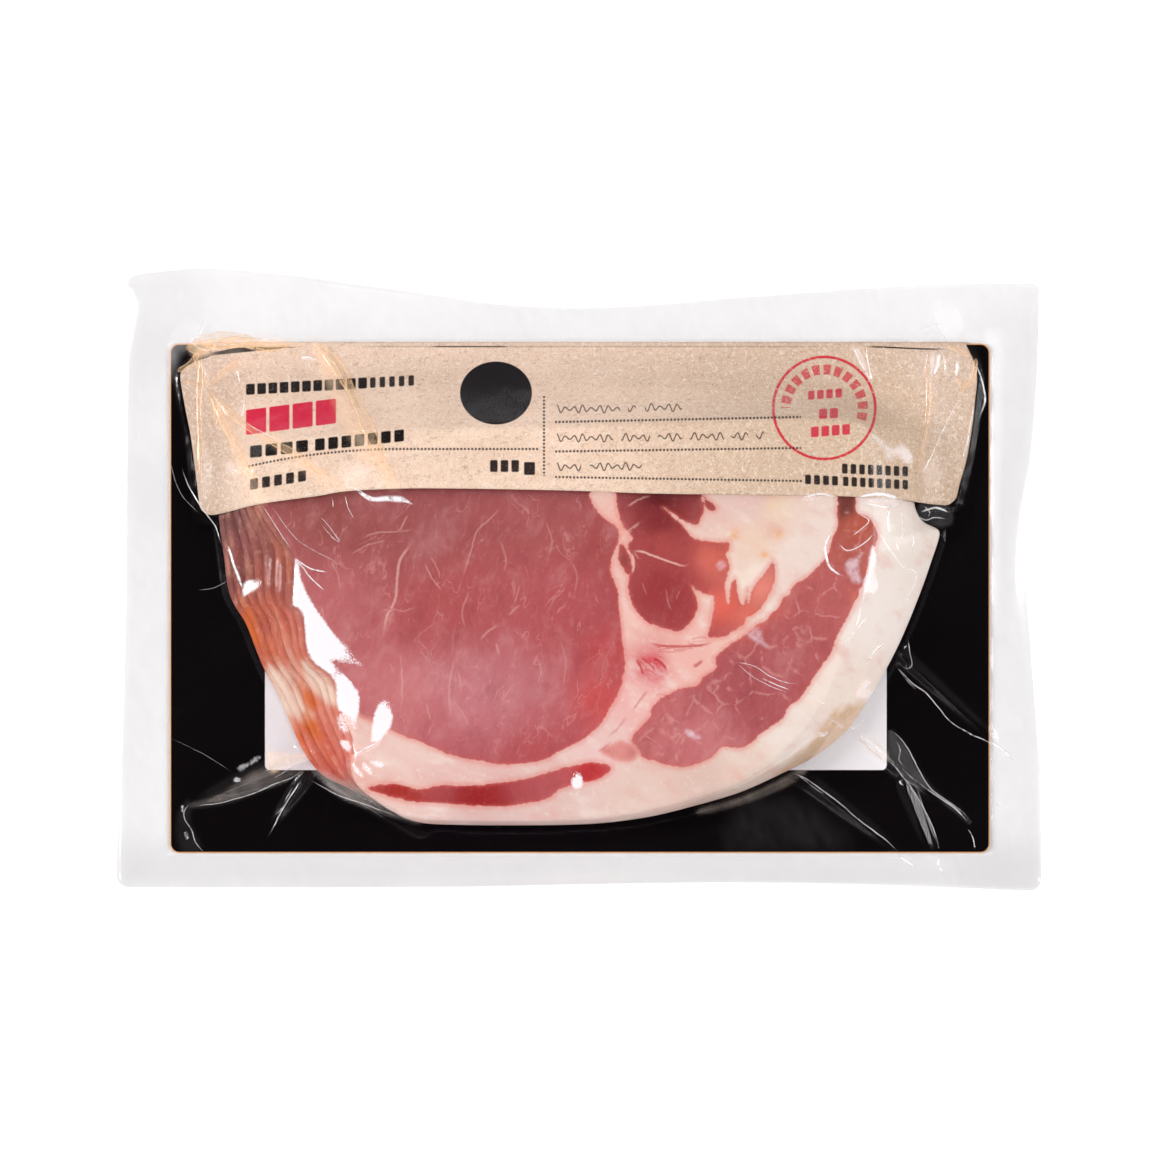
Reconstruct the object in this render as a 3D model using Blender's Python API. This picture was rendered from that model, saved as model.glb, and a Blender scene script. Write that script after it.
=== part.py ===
"""Vacuum pack of back bacon, lying on its back with the shown side up.

One closed solid: the clear sealed pouch with all it holds.  Its outside follows
the real pack: a thin sealed film margin with a wavy cut edge, the step of the
rectangular board, the stack of eight shingled slices, the paper flap folded
over the top of the stack, and the film webs that run down from the stack to the
corners of the board.

Metres, +Z up, X along the long side, Y towards the flap.  The origin is under
the middle of the pack's box, on the surface that the pack lies on.
"""

import math

import bmesh
import bpy
import numpy as np

MM = 0.001

# ---- driving sizes, in millimetres -------------------------------------------
POUCH_W, POUCH_H = 231.0, 155.5      # outside size of the film pouch
FILM_T = 0.15                        # one sheet of film
MARGIN_T = 2 * FILM_T                # sealed margin: both sheets together
CUT_R = 3.0                          # rounding of the pouch's cut corners
MARGIN_WAVE = 1.5                    # how far the loose margin lifts, on average
BOARD_W, BOARD_H, BOARD_T = 205.0, 127.4, 0.45
BOARD_CX, BOARD_CY = 0.1, -4.7       # the board sits low in the pouch
BOARD_R = 2.4                        # board corner radius
SLICES, SLICE_T = 8, 2.0             # 250 g in eight slices of this outline
EDGE_OUT, EDGE_IN = 2.2, 3.0         # the film rounds a slice's edge over this
THIN_RIGHT = 0.24                    # the stack is pressed thinner at the right
FLAP_T = 0.55                        # paper flap with its film
FLAP_STEP = 0.45                     # half width of the step along its edge

AROUND = 156                         # points around each ring
CENTRE = (2.0, -6.0)                 # ring centre

# Cut edge of the pouch: how far it lies inside the box, evenly spaced
TOP_IN = (2.2, 0.3, 1.4, 3.9, 6.6, 9.2, 10.0, 9.2, 7.6, 6.2, 4.8, 4.0, 3.9)
BOTTOM_IN = (0.9, 0.9, 0.9, 1.1, 1.7, 2.1, 1.9, 1.1, 0.0)
LEFT_IN = (0.0, 0.3, 0.6, 1.3, 1.7, 1.8, 1.9, 2.1, 2.4)      # bottom to top
RIGHT_IN = (0.2, 0.4, 0.8, 2.4, 3.9, 3.2, 1.4, 0.2, 0.1)

# Lower edge of the flap, evenly spaced from x = -96 to 96
FLAP_LOW = (15.2, 18.5, 20.8, 22.5, 23.0, 22.8, 22.3, 22.0, 21.6, 21.5, 21.2, 19.8, 18.9)
FLAP_LEFT = ((-100.6, 55.0), (-94.5, 15.2))
FLAP_RIGHT = ((93.6, 15.2), (99.9, 55.0))

# Outlines of the lowest and the top slice, anticlockwise from the left: the
# slices are shingled, each a little further right and lower than the one below
LOWEST = (
    (-90.0, 15.9), (-88.6, 7.4), (-83.4, -11.4), (-75.4, -29.1), (-68.4, -44.6),
    (-56.4, -53.4), (-40.1, -60.3), (-16.1, -60.9), (6.4, -59.4), (25.1, -55.1),
    (41.4, -47.1), (53.9, -36.6), (62.1, -23.1), (69.6, -5.1), (73.6, 12.4),
    (74.1, 26.6), (69.6, 42.9), (52.6, 50.4), (20.1, 52.4), (-19.9, 52.4),
    (-59.9, 50.4), (-83.6, 44.9), (-90.0, 32.4),
)
TOPMOST = (
    (-78.1, 17.3), (-71.4, 4.9), (-69.9, -10.1), (-63.4, -25.6), (-58.6, -38.9),
    (-52.9, -49.6), (-40.1, -60.1), (-16.1, -61.6), (6.4, -60.9), (27.6, -57.1),
    (50.9, -49.1), (67.1, -38.6), (76.4, -24.6), (85.9, -3.9), (91.6, 13.1),
    (91.6, 24.9), (84.6, 35.4), (68.6, 40.4), (30.1, 38.4), (-14.9, 37.9),
    (-49.9, 37.9), (-71.9, 34.4), (-79.6, 26.6),
)

# Film webs: (start on the stack, end on the board, height, half width)
WEBS = (
    ((-65.5, -46.0), (-99.0, -57.0), 9.0, 5.0),
    ((-62.0, -51.0), (-79.0, -67.0), 6.0, 4.2),
    ((64.0, -40.0), (99.0, -61.5), 8.0, 4.8),
    ((52.0, -47.5), (84.0, -71.0), 5.0, 4.2),
    ((77.0, -22.0), (104.0, -43.0), 5.0, 4.2),
)

# Rings: shares of the way to the stack's shoulder, down its side, to the board
PLATEAU = (0.0, 0.2, 0.4, 0.58, 0.74, 0.88)
SLOPE = (0.0, 0.2, 0.4, 0.6, 0.8, 1.0)
APRON = (0.15, 0.4, 0.72)
MARGIN = (0.0, 0.35, 0.7, 1.0)


def smooth(low, high, value):
    t = np.clip((value - low) / (high - low), 0.0, 1.0)
    return t * t * (3 - 2 * t)


def cubic(p0, p1, p2, p3, t):
    return 0.5 * (
        2 * p1
        + (p2 - p0) * t
        + (2 * p0 - 5 * p1 + 4 * p2 - p3) * t**2
        + (3 * p1 - p0 - 3 * p2 + p3) * t**3
    )


def sample(values, share):
    """Smooth value at a share from 0 to 1 along evenly spaced values."""
    last = len(values) - 1
    at = np.clip(share, 0.0, 1.0) * last
    i = np.minimum(np.floor(at).astype(int), last - 1)
    v = np.asarray(values, float)
    p = [v[np.clip(i + k, 0, last)] for k in (-1, 0, 1, 2)]
    return cubic(*p, at - i)


def closed_curve(points, steps=6):
    """Smooth closed curve through the points."""
    p = np.asarray(points, float)
    t = (np.arange(steps) / steps)[:, None]
    n = len(p)
    return np.concatenate(
        [cubic(p[i - 1], p[i], p[(i + 1) % n], p[(i + 2) % n], t) for i in range(n)]
    )


def signed_distance(xy, outline):
    """Distance to a closed outline, negative inside it."""
    best = np.full(len(xy), 1e18)
    inside = np.zeros(len(xy), bool)
    x, y = xy[:, 0], xy[:, 1]
    for a, b in zip(np.roll(outline, 1, axis=0), outline):
        e = b - a
        t = np.clip(((xy - a) @ e) / (e @ e), 0.0, 1.0)
        best = np.minimum(best, ((xy - a - t[:, None] * e) ** 2).sum(axis=1))
        if a[1] != b[1]:
            crosses = (a[1] > y) != (b[1] > y)
            inside ^= crosses & (x < e[0] * (y - a[1]) / e[1] + a[0])
    return np.where(inside, -1.0, 1.0) * np.sqrt(best)


def slice_outline(i):
    """Outline of slice i, from 0 on the board to SLICES - 1 on top."""
    s = i / (SLICES - 1)
    return closed_curve(np.array(LOWEST) * (1 - s) + np.array(TOPMOST) * s)


def stack_height(xy):
    """Height of the slices above the board, their edges rounded by the film."""
    height = sum(
        SLICE_T * smooth(EDGE_OUT, -EDGE_IN, signed_distance(xy, slice_outline(i)))
        for i in range(SLICES)
    )
    return height * (1 - THIN_RIGHT * smooth(20.0, 92.0, xy[:, 0]))


def web_height(xy):
    """Height of the film webs above the board."""
    highest = np.zeros(len(xy))
    for a, b, height, half in WEBS:
        a, b = np.array(a), np.array(b)
        e = b - a
        t = ((xy - a) @ e) / (e @ e)
        off = np.abs((xy - a) @ np.array((-e[1], e[0]))) / math.hypot(*e)
        along = (1 - np.clip(t, 0.0, 1.0)) ** 1.3 * smooth(-0.3, 0.0, t)
        highest = np.maximum(highest, height * along * np.exp(-((off / half) ** 2)))
    return highest


def beside(xy, line):
    """Distance to the left of a line, in millimetres."""
    a, b = np.array(line[0]), np.array(line[1])
    e = (b - a) / math.hypot(*(b - a))
    return (xy - a) @ np.array((-e[1], e[0]))


def flap_low(x):
    return sample(FLAP_LOW, (x + 96) / 192)


def flap_height(xy):
    """The paper flap: its three free edges step down to what it lies on."""
    inside = np.minimum(xy[:, 1] - flap_low(xy[:, 0]), beside(xy, FLAP_LEFT))
    inside = np.minimum(inside, beside(xy, FLAP_RIGHT))
    return FLAP_T * smooth(-FLAP_STEP, FLAP_STEP, inside)


def top_height(xy):
    """Height of the film over everything inside the board's edge."""
    soft = 1.6
    a, b = stack_height(xy), web_height(xy)
    near = np.clip(1 - np.abs(a - b) / soft, 0, 1) * (np.minimum(a, b) > 0.2)
    return 2 * FILM_T + BOARD_T + flap_height(xy) + np.maximum(a, b) + soft / 4 * near**2


def rounded(x, y, half_w, half_h, radius):
    """Pull a point on a rectangle's edge onto its rounded corner."""
    ox, oy = abs(x) - (half_w - radius), abs(y) - (half_h - radius)
    if ox > 0 and oy > 0:
        k = radius / math.hypot(ox, oy)
        x = math.copysign(half_w - radius + ox * k, x)
        y = math.copysign(half_h - radius + oy * k, y)
    return x, y


def along_box(side, share, half_w, half_h):
    """A point on a box's edge; sides run anticlockwise from the right one."""
    across = 2 * share - 1
    return (
        (half_w, half_h * across),
        (-half_w * across, half_h),
        (-half_w, -half_h * across),
        (half_w * across, -half_h),
    )[side]


def board_edge(side, share, grow=0.0):
    w, h = BOARD_W / 2 + grow, BOARD_H / 2 + grow
    x, y = rounded(*along_box(side, share, w, h), w, h, BOARD_R + grow)
    return (BOARD_CX + x, BOARD_CY + y)


def pouch_edge(side, share):
    """The same point on the pouch's wavy cut edge."""
    w, h = POUCH_W / 2, POUCH_H / 2
    x, y = rounded(*along_box(side, share, w, h), w, h, CUT_R)
    u, v = x / w, y / h
    right = float(sample(RIGHT_IN, (v + 1) / 2))
    left = float(sample(LEFT_IN, (v + 1) / 2))
    top = float(sample(TOP_IN, (u + 1) / 2))
    bottom = float(sample(BOTTOM_IN, (u + 1) / 2))
    x -= right * max(0.0, u) - left * max(0.0, -u)
    y -= top * max(0.0, v) - bottom * max(0.0, -v)
    return (x, y)


def stations():
    """(side, share) of every point around the rings, closer at the corners."""
    counts = (round(AROUND * 0.19), round(AROUND * 0.31))
    return [
        (side, k / n - 0.035 * math.sin(4 * math.pi * k / n) / 2)
        for side in range(4)
        for n in (counts[side % 2],)
        for k in range(n)
    ]


def reach(targets, outline):
    """How far along the rays from the centre each one leaves the outline."""
    centre = np.array(CENTRE)
    low, high = np.zeros(len(targets)), np.ones(len(targets))
    for _ in range(20):
        mid = (low + high) / 2
        inside = signed_distance(centre + (targets - centre) * mid[:, None], outline) < 0
        low, high = np.where(inside, mid, low), np.where(inside, high, mid)
    return low * np.hypot(*(targets - centre).T)


def margin_lift(angle, out):
    """How far the loose margin stands off the surface, 0 at the board."""
    wave = 1 + 0.55 * math.sin(3 * angle + 1.0) + 0.35 * math.sin(5 * angle + 2.3)
    return MARGIN_WAVE * max(0.08, wave) * out * out


def ring_points():
    """All rings: those over the board, flat for now, then the rim and base."""
    around = stations()
    edge = np.array([board_edge(*s, grow=-0.3) for s in around])
    centre = np.array(CENTRE)
    length = np.hypot(*(edge - centre).T)
    towards = (edge - centre) / length[:, None]
    top = slice_outline(SLICES - 1)
    foot = np.maximum(reach(edge, slice_outline(0)), reach(edge, top))
    shoulder = np.minimum(reach(edge, top), foot) - EDGE_IN
    foot = np.minimum(foot + EDGE_OUT, length - 4.0)
    steps = [shoulder * s for s in PLATEAU]
    steps += [shoulder + (foot - shoulder) * s for s in SLOPE]
    steps += [foot + (length - foot) * s for s in APRON]
    tops = [centre + towards * s[:, None] for s in steps] + [edge]

    upper, lower = [], []
    for share in MARGIN:
        under = []
        for s in around:
            a, b = board_edge(*s, grow=0.6), pouch_edge(*s)
            x, y = (a[0] + (b[0] - a[0]) * share, a[1] + (b[1] - a[1]) * share)
            under.append((x, y, margin_lift(math.atan2(y, x), share)))
        under = np.array(under)
        lower.append(under)
        upper.append(under + (0.0, 0.0, MARGIN_T))
    base = np.array([(BOARD_CX, BOARD_CY, 0.0)] * len(around))
    tops = [np.column_stack((t, np.zeros(len(t)))) for t in tops]
    return tops, upper + lower[::-1] + [base]


def score(bm, tops, point, normal, keep):
    """Cut the flat top faces along a line, so that a flap edge can follow it."""
    chosen = set(tops)
    faces = [
        f
        for f in bm.faces
        if all(v in chosen for v in f.verts) and keep(f.calc_center_median())
    ]
    edges = {e for f in faces for e in f.edges}
    verts = {v for f in faces for v in f.verts}
    made = bmesh.ops.bisect_plane(
        bm,
        geom=list(verts) + list(edges) + faces,
        dist=0.05,
        plane_co=point,
        plane_no=normal,
    )
    new = {g for g in made["geom_cut"] if isinstance(g, bmesh.types.BMVert)}
    return list(chosen | new)


def score_flap(bm, tops):
    """Score both sides of the step along the flap's three free edges."""
    for sign in (-1, 1):
        for v in tops:
            v.co.y += sign * float(flap_low(np.array(v.co.x)))
        if sign < 0:
            for offset in (-FLAP_STEP, FLAP_STEP):
                tops = score(
                    bm,
                    tops,
                    (0, offset, 0),
                    (0, 1, 0),
                    lambda c: abs(c.y) < 12 and -98 < c.x < 97,
                )
    for line in (FLAP_LEFT, FLAP_RIGHT):
        a, b = np.array(line[0]), np.array(line[1])
        e = (b - a) / math.hypot(*(b - a))
        normal = np.array((-e[1], e[0]))
        for offset in (-FLAP_STEP, FLAP_STEP):
            tops = score(
                bm,
                tops,
                (*(a + normal * offset), 0),
                (*normal, 0),
                lambda c: c.y > float(flap_low(np.array(c.x))) - 3 and abs(c.x) > 88,
            )
    return tops


def build_pouch(collection):
    tops, rest = ring_points()
    rings = tops + rest
    n, m = len(rings[0]), len(rings)
    bm = bmesh.new()
    # a grid wrapped into rings: columns go round the pack, rows from top to base
    bmesh.ops.create_grid(bm, x_segments=n, y_segments=m - 1, size=1.0)
    over_board = []
    for v in bm.verts:
        k = round((v.co.x + 1) / 2 * n) % n
        r = round((v.co.y + 1) / 2 * (m - 1))
        v.co = rings[r][k]
        if r < len(tops):
            over_board.append(v)
    bmesh.ops.remove_doubles(bm, verts=bm.verts, dist=0.0001)
    over_board = score_flap(bm, [v for v in over_board if v.is_valid])
    flat = np.array([v.co[:2] for v in over_board])
    for v, z in zip(over_board, top_height(flat)):
        v.co.z = z
    bmesh.ops.triangulate(bm, faces=[f for f in bm.faces if len(f.verts) > 4])

    corners = np.array([v.co for v in bm.verts])
    low, high = corners.min(axis=0), corners.max(axis=0)
    origin = ((low[0] + high[0]) / 2, (low[1] + high[1]) / 2, low[2])
    for v in bm.verts:
        v.co = [(c - o) * MM for c, o in zip(v.co, origin)]
    bmesh.ops.recalc_face_normals(bm, faces=bm.faces)
    mesh = bpy.data.meshes.new("sealed_pouch")
    bm.to_mesh(mesh)
    bm.free()
    mesh.shade_smooth()
    pouch = bpy.data.objects.new("sealed_pouch", mesh)
    collection.objects.link(pouch)
    return pouch


def pack_material():
    mat = bpy.data.materials.new("clear_film_over_bacon")
    mat.use_nodes = True
    shader = mat.node_tree.nodes["Principled BSDF"]
    shader.inputs["Base Color"].default_value = (0.49, 0.14, 0.15, 1.0)
    shader.inputs["Roughness"].default_value = 0.18
    shader.inputs["Metallic"].default_value = 0.0
    return mat


def main():
    for obj in list(bpy.data.objects):
        bpy.data.objects.remove(obj, do_unlink=True)
    collection = bpy.data.collections.new("bacon_pack")
    bpy.context.scene.collection.children.link(collection)
    pouch = build_pouch(collection)
    pouch.data.materials.append(pack_material())


main()
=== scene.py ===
import math

import bmesh
import bpy
import numpy as np
from mathutils.bvhtree import BVHTree
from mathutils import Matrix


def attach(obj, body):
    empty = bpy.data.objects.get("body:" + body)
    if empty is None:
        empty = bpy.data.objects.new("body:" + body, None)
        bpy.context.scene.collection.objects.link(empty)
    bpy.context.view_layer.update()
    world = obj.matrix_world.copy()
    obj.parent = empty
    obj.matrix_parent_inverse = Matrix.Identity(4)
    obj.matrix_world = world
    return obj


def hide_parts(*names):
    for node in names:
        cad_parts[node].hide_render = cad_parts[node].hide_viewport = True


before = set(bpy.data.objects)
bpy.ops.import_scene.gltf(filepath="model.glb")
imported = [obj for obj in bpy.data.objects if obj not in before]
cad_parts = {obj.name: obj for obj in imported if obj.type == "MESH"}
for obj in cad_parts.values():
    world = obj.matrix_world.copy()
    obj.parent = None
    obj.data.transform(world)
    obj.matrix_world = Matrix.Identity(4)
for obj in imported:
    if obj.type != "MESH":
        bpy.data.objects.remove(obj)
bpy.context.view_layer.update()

MM = 0.001
PX = 0.25          # millimetres to one picture pixel, on the floor
CAM = 1500.0       # height of the camera, in millimetres


# ---------------------------------------------------------------- helpers ----
def at(points, z=0.0):
    """Picture positions (1161 across) as millimetres on the level z."""
    p = np.asarray(points, float)
    k = PX * (CAM - z) / CAM
    return np.stack(
        ((p[..., 0] - 580.5) * k + 0.25, -(p[..., 1] - 580.5) * k - 0.25), axis=-1
    )


def smooth(low, high, value):
    t = np.clip((value - low) / (high - low), 0.0, 1.0)
    return t * t * (3 - 2 * t)


def cubic(p0, p1, p2, p3, t):
    return 0.5 * (
        2 * p1
        + (p2 - p0) * t
        + (2 * p0 - 5 * p1 + 4 * p2 - p3) * t**2
        + (3 * p1 - p0 - 3 * p2 + p3) * t**3
    )


def sample(values, share):
    """Smooth value at a share from 0 to 1 along evenly spaced values."""
    last = len(values) - 1
    pos = np.clip(share, 0.0, 1.0) * last
    i = np.minimum(np.floor(pos).astype(int), last - 1)
    v = np.asarray(values, float)
    p = [v[np.clip(i + k, 0, last)] for k in (-1, 0, 1, 2)]
    return cubic(*p, pos - i)


def spline(points, closed=True, steps=4):
    """Catmull-Rom curve through the points."""
    p = np.asarray(points, float)
    t = (np.arange(steps) / steps)[:, None]
    n = len(p)
    out = []
    for i in range(n if closed else n - 1):
        if closed:
            a, b, c, d = p[i - 1], p[i], p[(i + 1) % n], p[(i + 2) % n]
        else:
            a, b, c, d = p[max(i - 1, 0)], p[i], p[i + 1], p[min(i + 2, n - 1)]
        out.append(cubic(a, b, c, d, t))
    if not closed:
        out.append(p[-1:])
    return np.concatenate(out)


def inside_distance(x, y, outline):
    """Signed distance to a closed outline: positive inside it."""
    best = np.full(x.shape, 1e18)
    within = np.zeros(x.shape, bool)
    for a, b in zip(np.roll(outline, 1, axis=0), outline):
        ex, ey = b - a
        ll = ex * ex + ey * ey
        if ll < 1e-12:
            continue
        dx, dy = x - a[0], y - a[1]
        t = np.clip((dx * ex + dy * ey) / ll, 0.0, 1.0)
        best = np.minimum(best, (dx - t * ex) ** 2 + (dy - t * ey) ** 2)
        if a[1] != b[1]:
            within ^= ((a[1] > y) != (b[1] > y)) & (x < ex * dy / ey + a[0])
    return np.where(within, 1.0, -1.0) * np.sqrt(best)


def line_distance(x, y, line):
    """(distance, signed side distance, share along) of an open line."""
    best = np.full(x.shape, 1e18)
    side = np.zeros(x.shape)
    share = np.zeros(x.shape)
    seg = np.hypot(*np.diff(line, axis=0).T)
    total, run = max(seg.sum(), 1e-9), 0.0
    for a, b, ln in zip(line[:-1], line[1:], seg):
        ex, ey = b - a
        if ln < 1e-9:
            continue
        dx, dy = x - a[0], y - a[1]
        t = np.clip((dx * ex + dy * ey) / (ln * ln), 0.0, 1.0)
        d = (dx - t * ex) ** 2 + (dy - t * ey) ** 2
        near = d < best
        best = np.where(near, d, best)
        side = np.where(near, (ex * dy - ey * dx) / ln, side)
        share = np.where(near, (run + t * ln) / total, share)
        run += ln
    return np.sqrt(best), side, share


def noise(x, y, size, seed, octaves=1):
    """Smooth noise, about -1 to 1, with features of the given size."""
    rng = np.random.default_rng(seed)
    total, amp, norm = np.zeros(np.shape(x)), 1.0, 0.0
    for _ in range(octaves):
        g = rng.uniform(-1, 1, (64, 64))
        u, v = np.asarray(x) / size + 17.3, np.asarray(y) / size + 31.7
        iu, iv = np.floor(u).astype(int), np.floor(v).astype(int)
        fu, fv = u - iu, v - iv
        fu, fv = fu * fu * (3 - 2 * fu), fv * fv * (3 - 2 * fv)
        c = [g[(iu + i) % 64, (iv + j) % 64] for i in (0, 1) for j in (0, 1)]
        total += amp * (
            (c[0] * (1 - fu) + c[2] * fu) * (1 - fv) + (c[1] * (1 - fu) + c[3] * fu) * fv
        )
        norm += amp
        amp *= 0.5
        size = size / 2.03
    return total / norm


def linear(r, g, b):
    """A colour seen as 0 to 255 display values, as scene linear."""
    c = np.array((r, g, b), float) / 255
    return np.where(c <= 0.04045, c / 12.92, ((c + 0.055) / 1.055) ** 2.4)


def rgba(r, g, b, gain=1.0):
    return tuple(float(v) for v in linear(r, g, b) * gain) + (1.0,)


def grid_faces(rows, cols, wrap=False):
    """Quads of a grid of rows by cols vertices; wrap joins the last column on."""
    r = np.arange(rows - 1)[:, None]
    c = np.arange(cols if wrap else cols - 1)[None, :]
    n = (c + 1) % cols if wrap else c + 1
    return np.stack(
        (r * cols + c, r * cols + n, (r + 1) * cols + n, (r + 1) * cols + c), axis=-1
    ).reshape(-1, 4)


def piece(name, verts_mm, faces, smooth_shade=True):
    """A mesh object from millimetre vertices."""
    mesh = bpy.data.meshes.new(name)
    verts = np.asarray(verts_mm, float) * MM
    if isinstance(faces, np.ndarray) and faces.ndim == 2:
        k = faces.shape[1]
        mesh.vertices.add(len(verts))
        mesh.vertices.foreach_set("co", verts.astype(np.float32).ravel())
        mesh.loops.add(faces.size)
        mesh.loops.foreach_set("vertex_index", faces.astype(np.int32).ravel())
        mesh.polygons.add(len(faces))
        mesh.polygons.foreach_set("loop_start", np.arange(0, faces.size, k, dtype=np.int32))
        mesh.update(calc_edges=True)
    else:
        mesh.from_pydata([tuple(v) for v in verts], [], [tuple(map(int, f)) for f in faces])
    mesh.validate()
    mesh.update()
    if smooth_shade:
        mesh.shade_smooth()
    if len(faces) > 1:                  # every face of a closed piece looks outward
        bm = bmesh.new()
        bm.from_mesh(mesh)
        bmesh.ops.recalc_face_normals(bm, faces=bm.faces)
        bm.to_mesh(mesh)
        bm.free()
    obj = bpy.data.objects.new(name, mesh)
    bpy.context.scene.collection.objects.link(obj)
    return obj


def attribute(obj, name, values):
    """A value for each vertex, for the materials to read."""
    values = np.asarray(values, np.float32)
    if values.ndim == 1:
        a = obj.data.attributes.new(name, "FLOAT", "POINT")
        a.data.foreach_set("value", values)
    else:
        a = obj.data.attributes.new(name, "FLOAT_COLOR", "POINT")
        a.data.foreach_set("color", np.column_stack((values, np.ones(len(values)))).astype(np.float32).ravel())


# ------------------------------------------------------------- node helper ---
class Nodes:
    """Short names for building a material's nodes."""

    def __init__(self, name):
        self.mat = bpy.data.materials.new(name)
        self.mat.use_nodes = True
        self.tree = self.mat.node_tree
        self.tree.nodes.clear()
        self.out = self.tree.nodes.new("ShaderNodeOutputMaterial")

    def put(self, socket, value):
        if isinstance(value, bpy.types.NodeSocket):
            self.tree.links.new(value, socket)
        elif value is not None:
            socket.default_value = value

    def node(self, kind, inputs=(), **props):
        n = self.tree.nodes.new(kind)
        for k, v in props.items():
            setattr(n, k, v)
        for k, v in dict(inputs).items():
            self.put(n.inputs[k], v)
        return n

    def math(self, op, a, b=None, c=None, clamp=False):
        n = self.node("ShaderNodeMath", operation=op, use_clamp=clamp)
        for s, v in zip(n.inputs, (a, b, c)):
            self.put(s, v)
        return n.outputs[0]

    def ramp(self, value, low, high, to_low=0.0, to_high=1.0, kind="SMOOTHSTEP"):
        n = self.node("ShaderNodeMapRange", interpolation_type=kind)
        for k, v in zip(
            ("Value", "From Min", "From Max", "To Min", "To Max"),
            (value, low, high, to_low, to_high),
        ):
            self.put(n.inputs[k], v)
        return n.outputs[0]

    def mix(self, fac, a, b, blend="MIX"):
        n = self.node("ShaderNodeMix", data_type="RGBA", blend_type=blend, clamp_factor=True)
        self.put(n.inputs[0], fac)
        self.put(n.inputs[6], a)
        self.put(n.inputs[7], b)
        return n.outputs[2]

    def attr(self, name, out="Fac"):
        return self.node("ShaderNodeAttribute", attribute_name=name).outputs[out]

    def coords(self, scale=(1, 1, 1), rotate=0.0):
        """Object position in millimetres, turned and then stretched."""
        tc = self.node("ShaderNodeTexCoord").outputs["Object"]
        n = self.node(
            "ShaderNodeMapping",
            {"Vector": tc, "Scale": [0.001 / s for s in scale], "Rotation": (0, 0, rotate)},
            vector_type="TEXTURE",
        )
        return n.outputs[0]

    def noise(self, vector, scale, detail=2.0, rough=0.5, distort=0.0):
        return self.node(
            "ShaderNodeTexNoise",
            {"Vector": vector, "Scale": scale, "Detail": detail, "Roughness": rough, "Distortion": distort},
        ).outputs["Fac"]

    def bump(self, height, strength, distance=0.001, normal=None):
        return self.node(
            "ShaderNodeBump",
            {"Height": height, "Strength": strength, "Distance": distance, "Normal": normal},
        ).outputs[0]

    def surface(self, shader):
        self.tree.links.new(shader, self.out.inputs["Surface"])
        return self.mat


# ------------------------------------------------------- level of contents ---
FILM, BOARD = 0.15, 0.45
BOARD_TOP = FILM + BOARD
BOARD_W, BOARD_H, BOARD_CX, BOARD_CY, BOARD_R = 205.0, 127.4, 0.1, -4.7, 2.4
SLICES, SLICE_T, THIN_RIGHT = 8, 2.0, 0.24
CENTRE_PX = (560, 600)

# Edge of the top slice, seen at its own level, and of the lowest, on the board
TOP_PX = [
    (250, 470), (262, 505), (277, 530), (292, 552), (294, 575), (293, 602), (303, 617),
    (306, 648), (316, 665), (332, 678), (338, 700), (345, 720), (352, 737), (354, 753),
    (351, 769), (357, 786), (372, 799), (392, 812), (419, 823.5), (460, 826), (515, 826.5),
    (565, 826), (605, 824), (650, 818), (690, 808.5), (740, 794), (783, 775), (818, 757),
    (848, 733), (866, 708), (885, 677), (904, 640), (923, 594), (935, 560), (943, 534), (938, 527), (927, 522), (920, 512),
    (917, 498), (918, 470), (912, 445), (900, 425), (850, 417), (780, 416), (700, 419),
    (600, 422), (500, 424), (400, 426), (320, 432), (272, 445),
]
LOW_PX = [
    (217, 480), (218, 515), (222, 547), (229, 594), (245, 625), (260, 664), (277, 696),
    (291, 727), (305, 757), (321, 776), (341, 786), (367, 799), (391, 812), (419, 822),
    (515, 824), (600, 821), (650, 812), (690, 801), (745, 780), (790, 747), (825, 703),
    (850, 652), (866, 600), (875, 545), (876, 500), (872, 450), (860, 408), (828, 377),
    (700, 371), (500, 371), (340, 376), (262, 388), (228, 425),
]
SPREAD = (0.0, 0.11, 0.27, 0.41, 0.55, 0.72, 0.86, 1.0)
ANGLES = np.linspace(0, 2 * np.pi, 720, endpoint=False)
CENTRE = at(CENTRE_PX)


def radii(outline):
    """Distance from the centre to an outline at each of the angles."""
    d = outline - CENTRE
    a, r = np.unwrap(np.arctan2(d[:, 1], d[:, 0])), np.hypot(*d.T)
    order = np.argsort(np.mod(a, 2 * np.pi))
    return np.interp(ANGLES, np.mod(a, 2 * np.pi)[order], r[order], period=2 * np.pi)


R_LOW = radii(spline(at(LOW_PX, 2.0), steps=10))
R_TOP = radii(spline(at(TOP_PX, 15.0), steps=8))


def ring_noise(size_deg, seed):
    k = np.deg2rad(size_deg)
    return noise(np.cos(ANGLES) / k, np.sin(ANGLES) / k, 1.0, seed, 2)


def slice_radii(i):
    """Slices step inwards on the left; on the right they run out more evenly."""
    right = smooth(0.2, 0.9, np.cos(ANGLES))
    s = SPREAD[i] * (1 - right) + SPREAD[i] ** 0.62 * right
    r = R_LOW * (1 - s) + R_TOP * s
    if i < SLICES - 1:
        gap = np.abs(R_LOW - R_TOP)
        r = r + 0.5 * ring_noise(9, 40 + i) * smooth(1.0, 8.0, gap) - 0.25
    return r


R = [slice_radii(i) for i in range(SLICES)]


def slice_depth(i, x, y):
    """How far inside slice i's edge a point is, in millimetres."""
    dx, dy = x - CENTRE[0], y - CENTRE[1]
    a = np.mod(np.arctan2(dy, dx), 2 * np.pi)
    slope = np.gradient(R[i], ANGLES)
    edge = np.interp(a, ANGLES, R[i], period=2 * np.pi)
    lean = np.interp(a, ANGLES, slope, period=2 * np.pi)
    return (edge - np.hypot(dx, dy)) / np.sqrt(1 + (lean / edge) ** 2)


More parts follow.
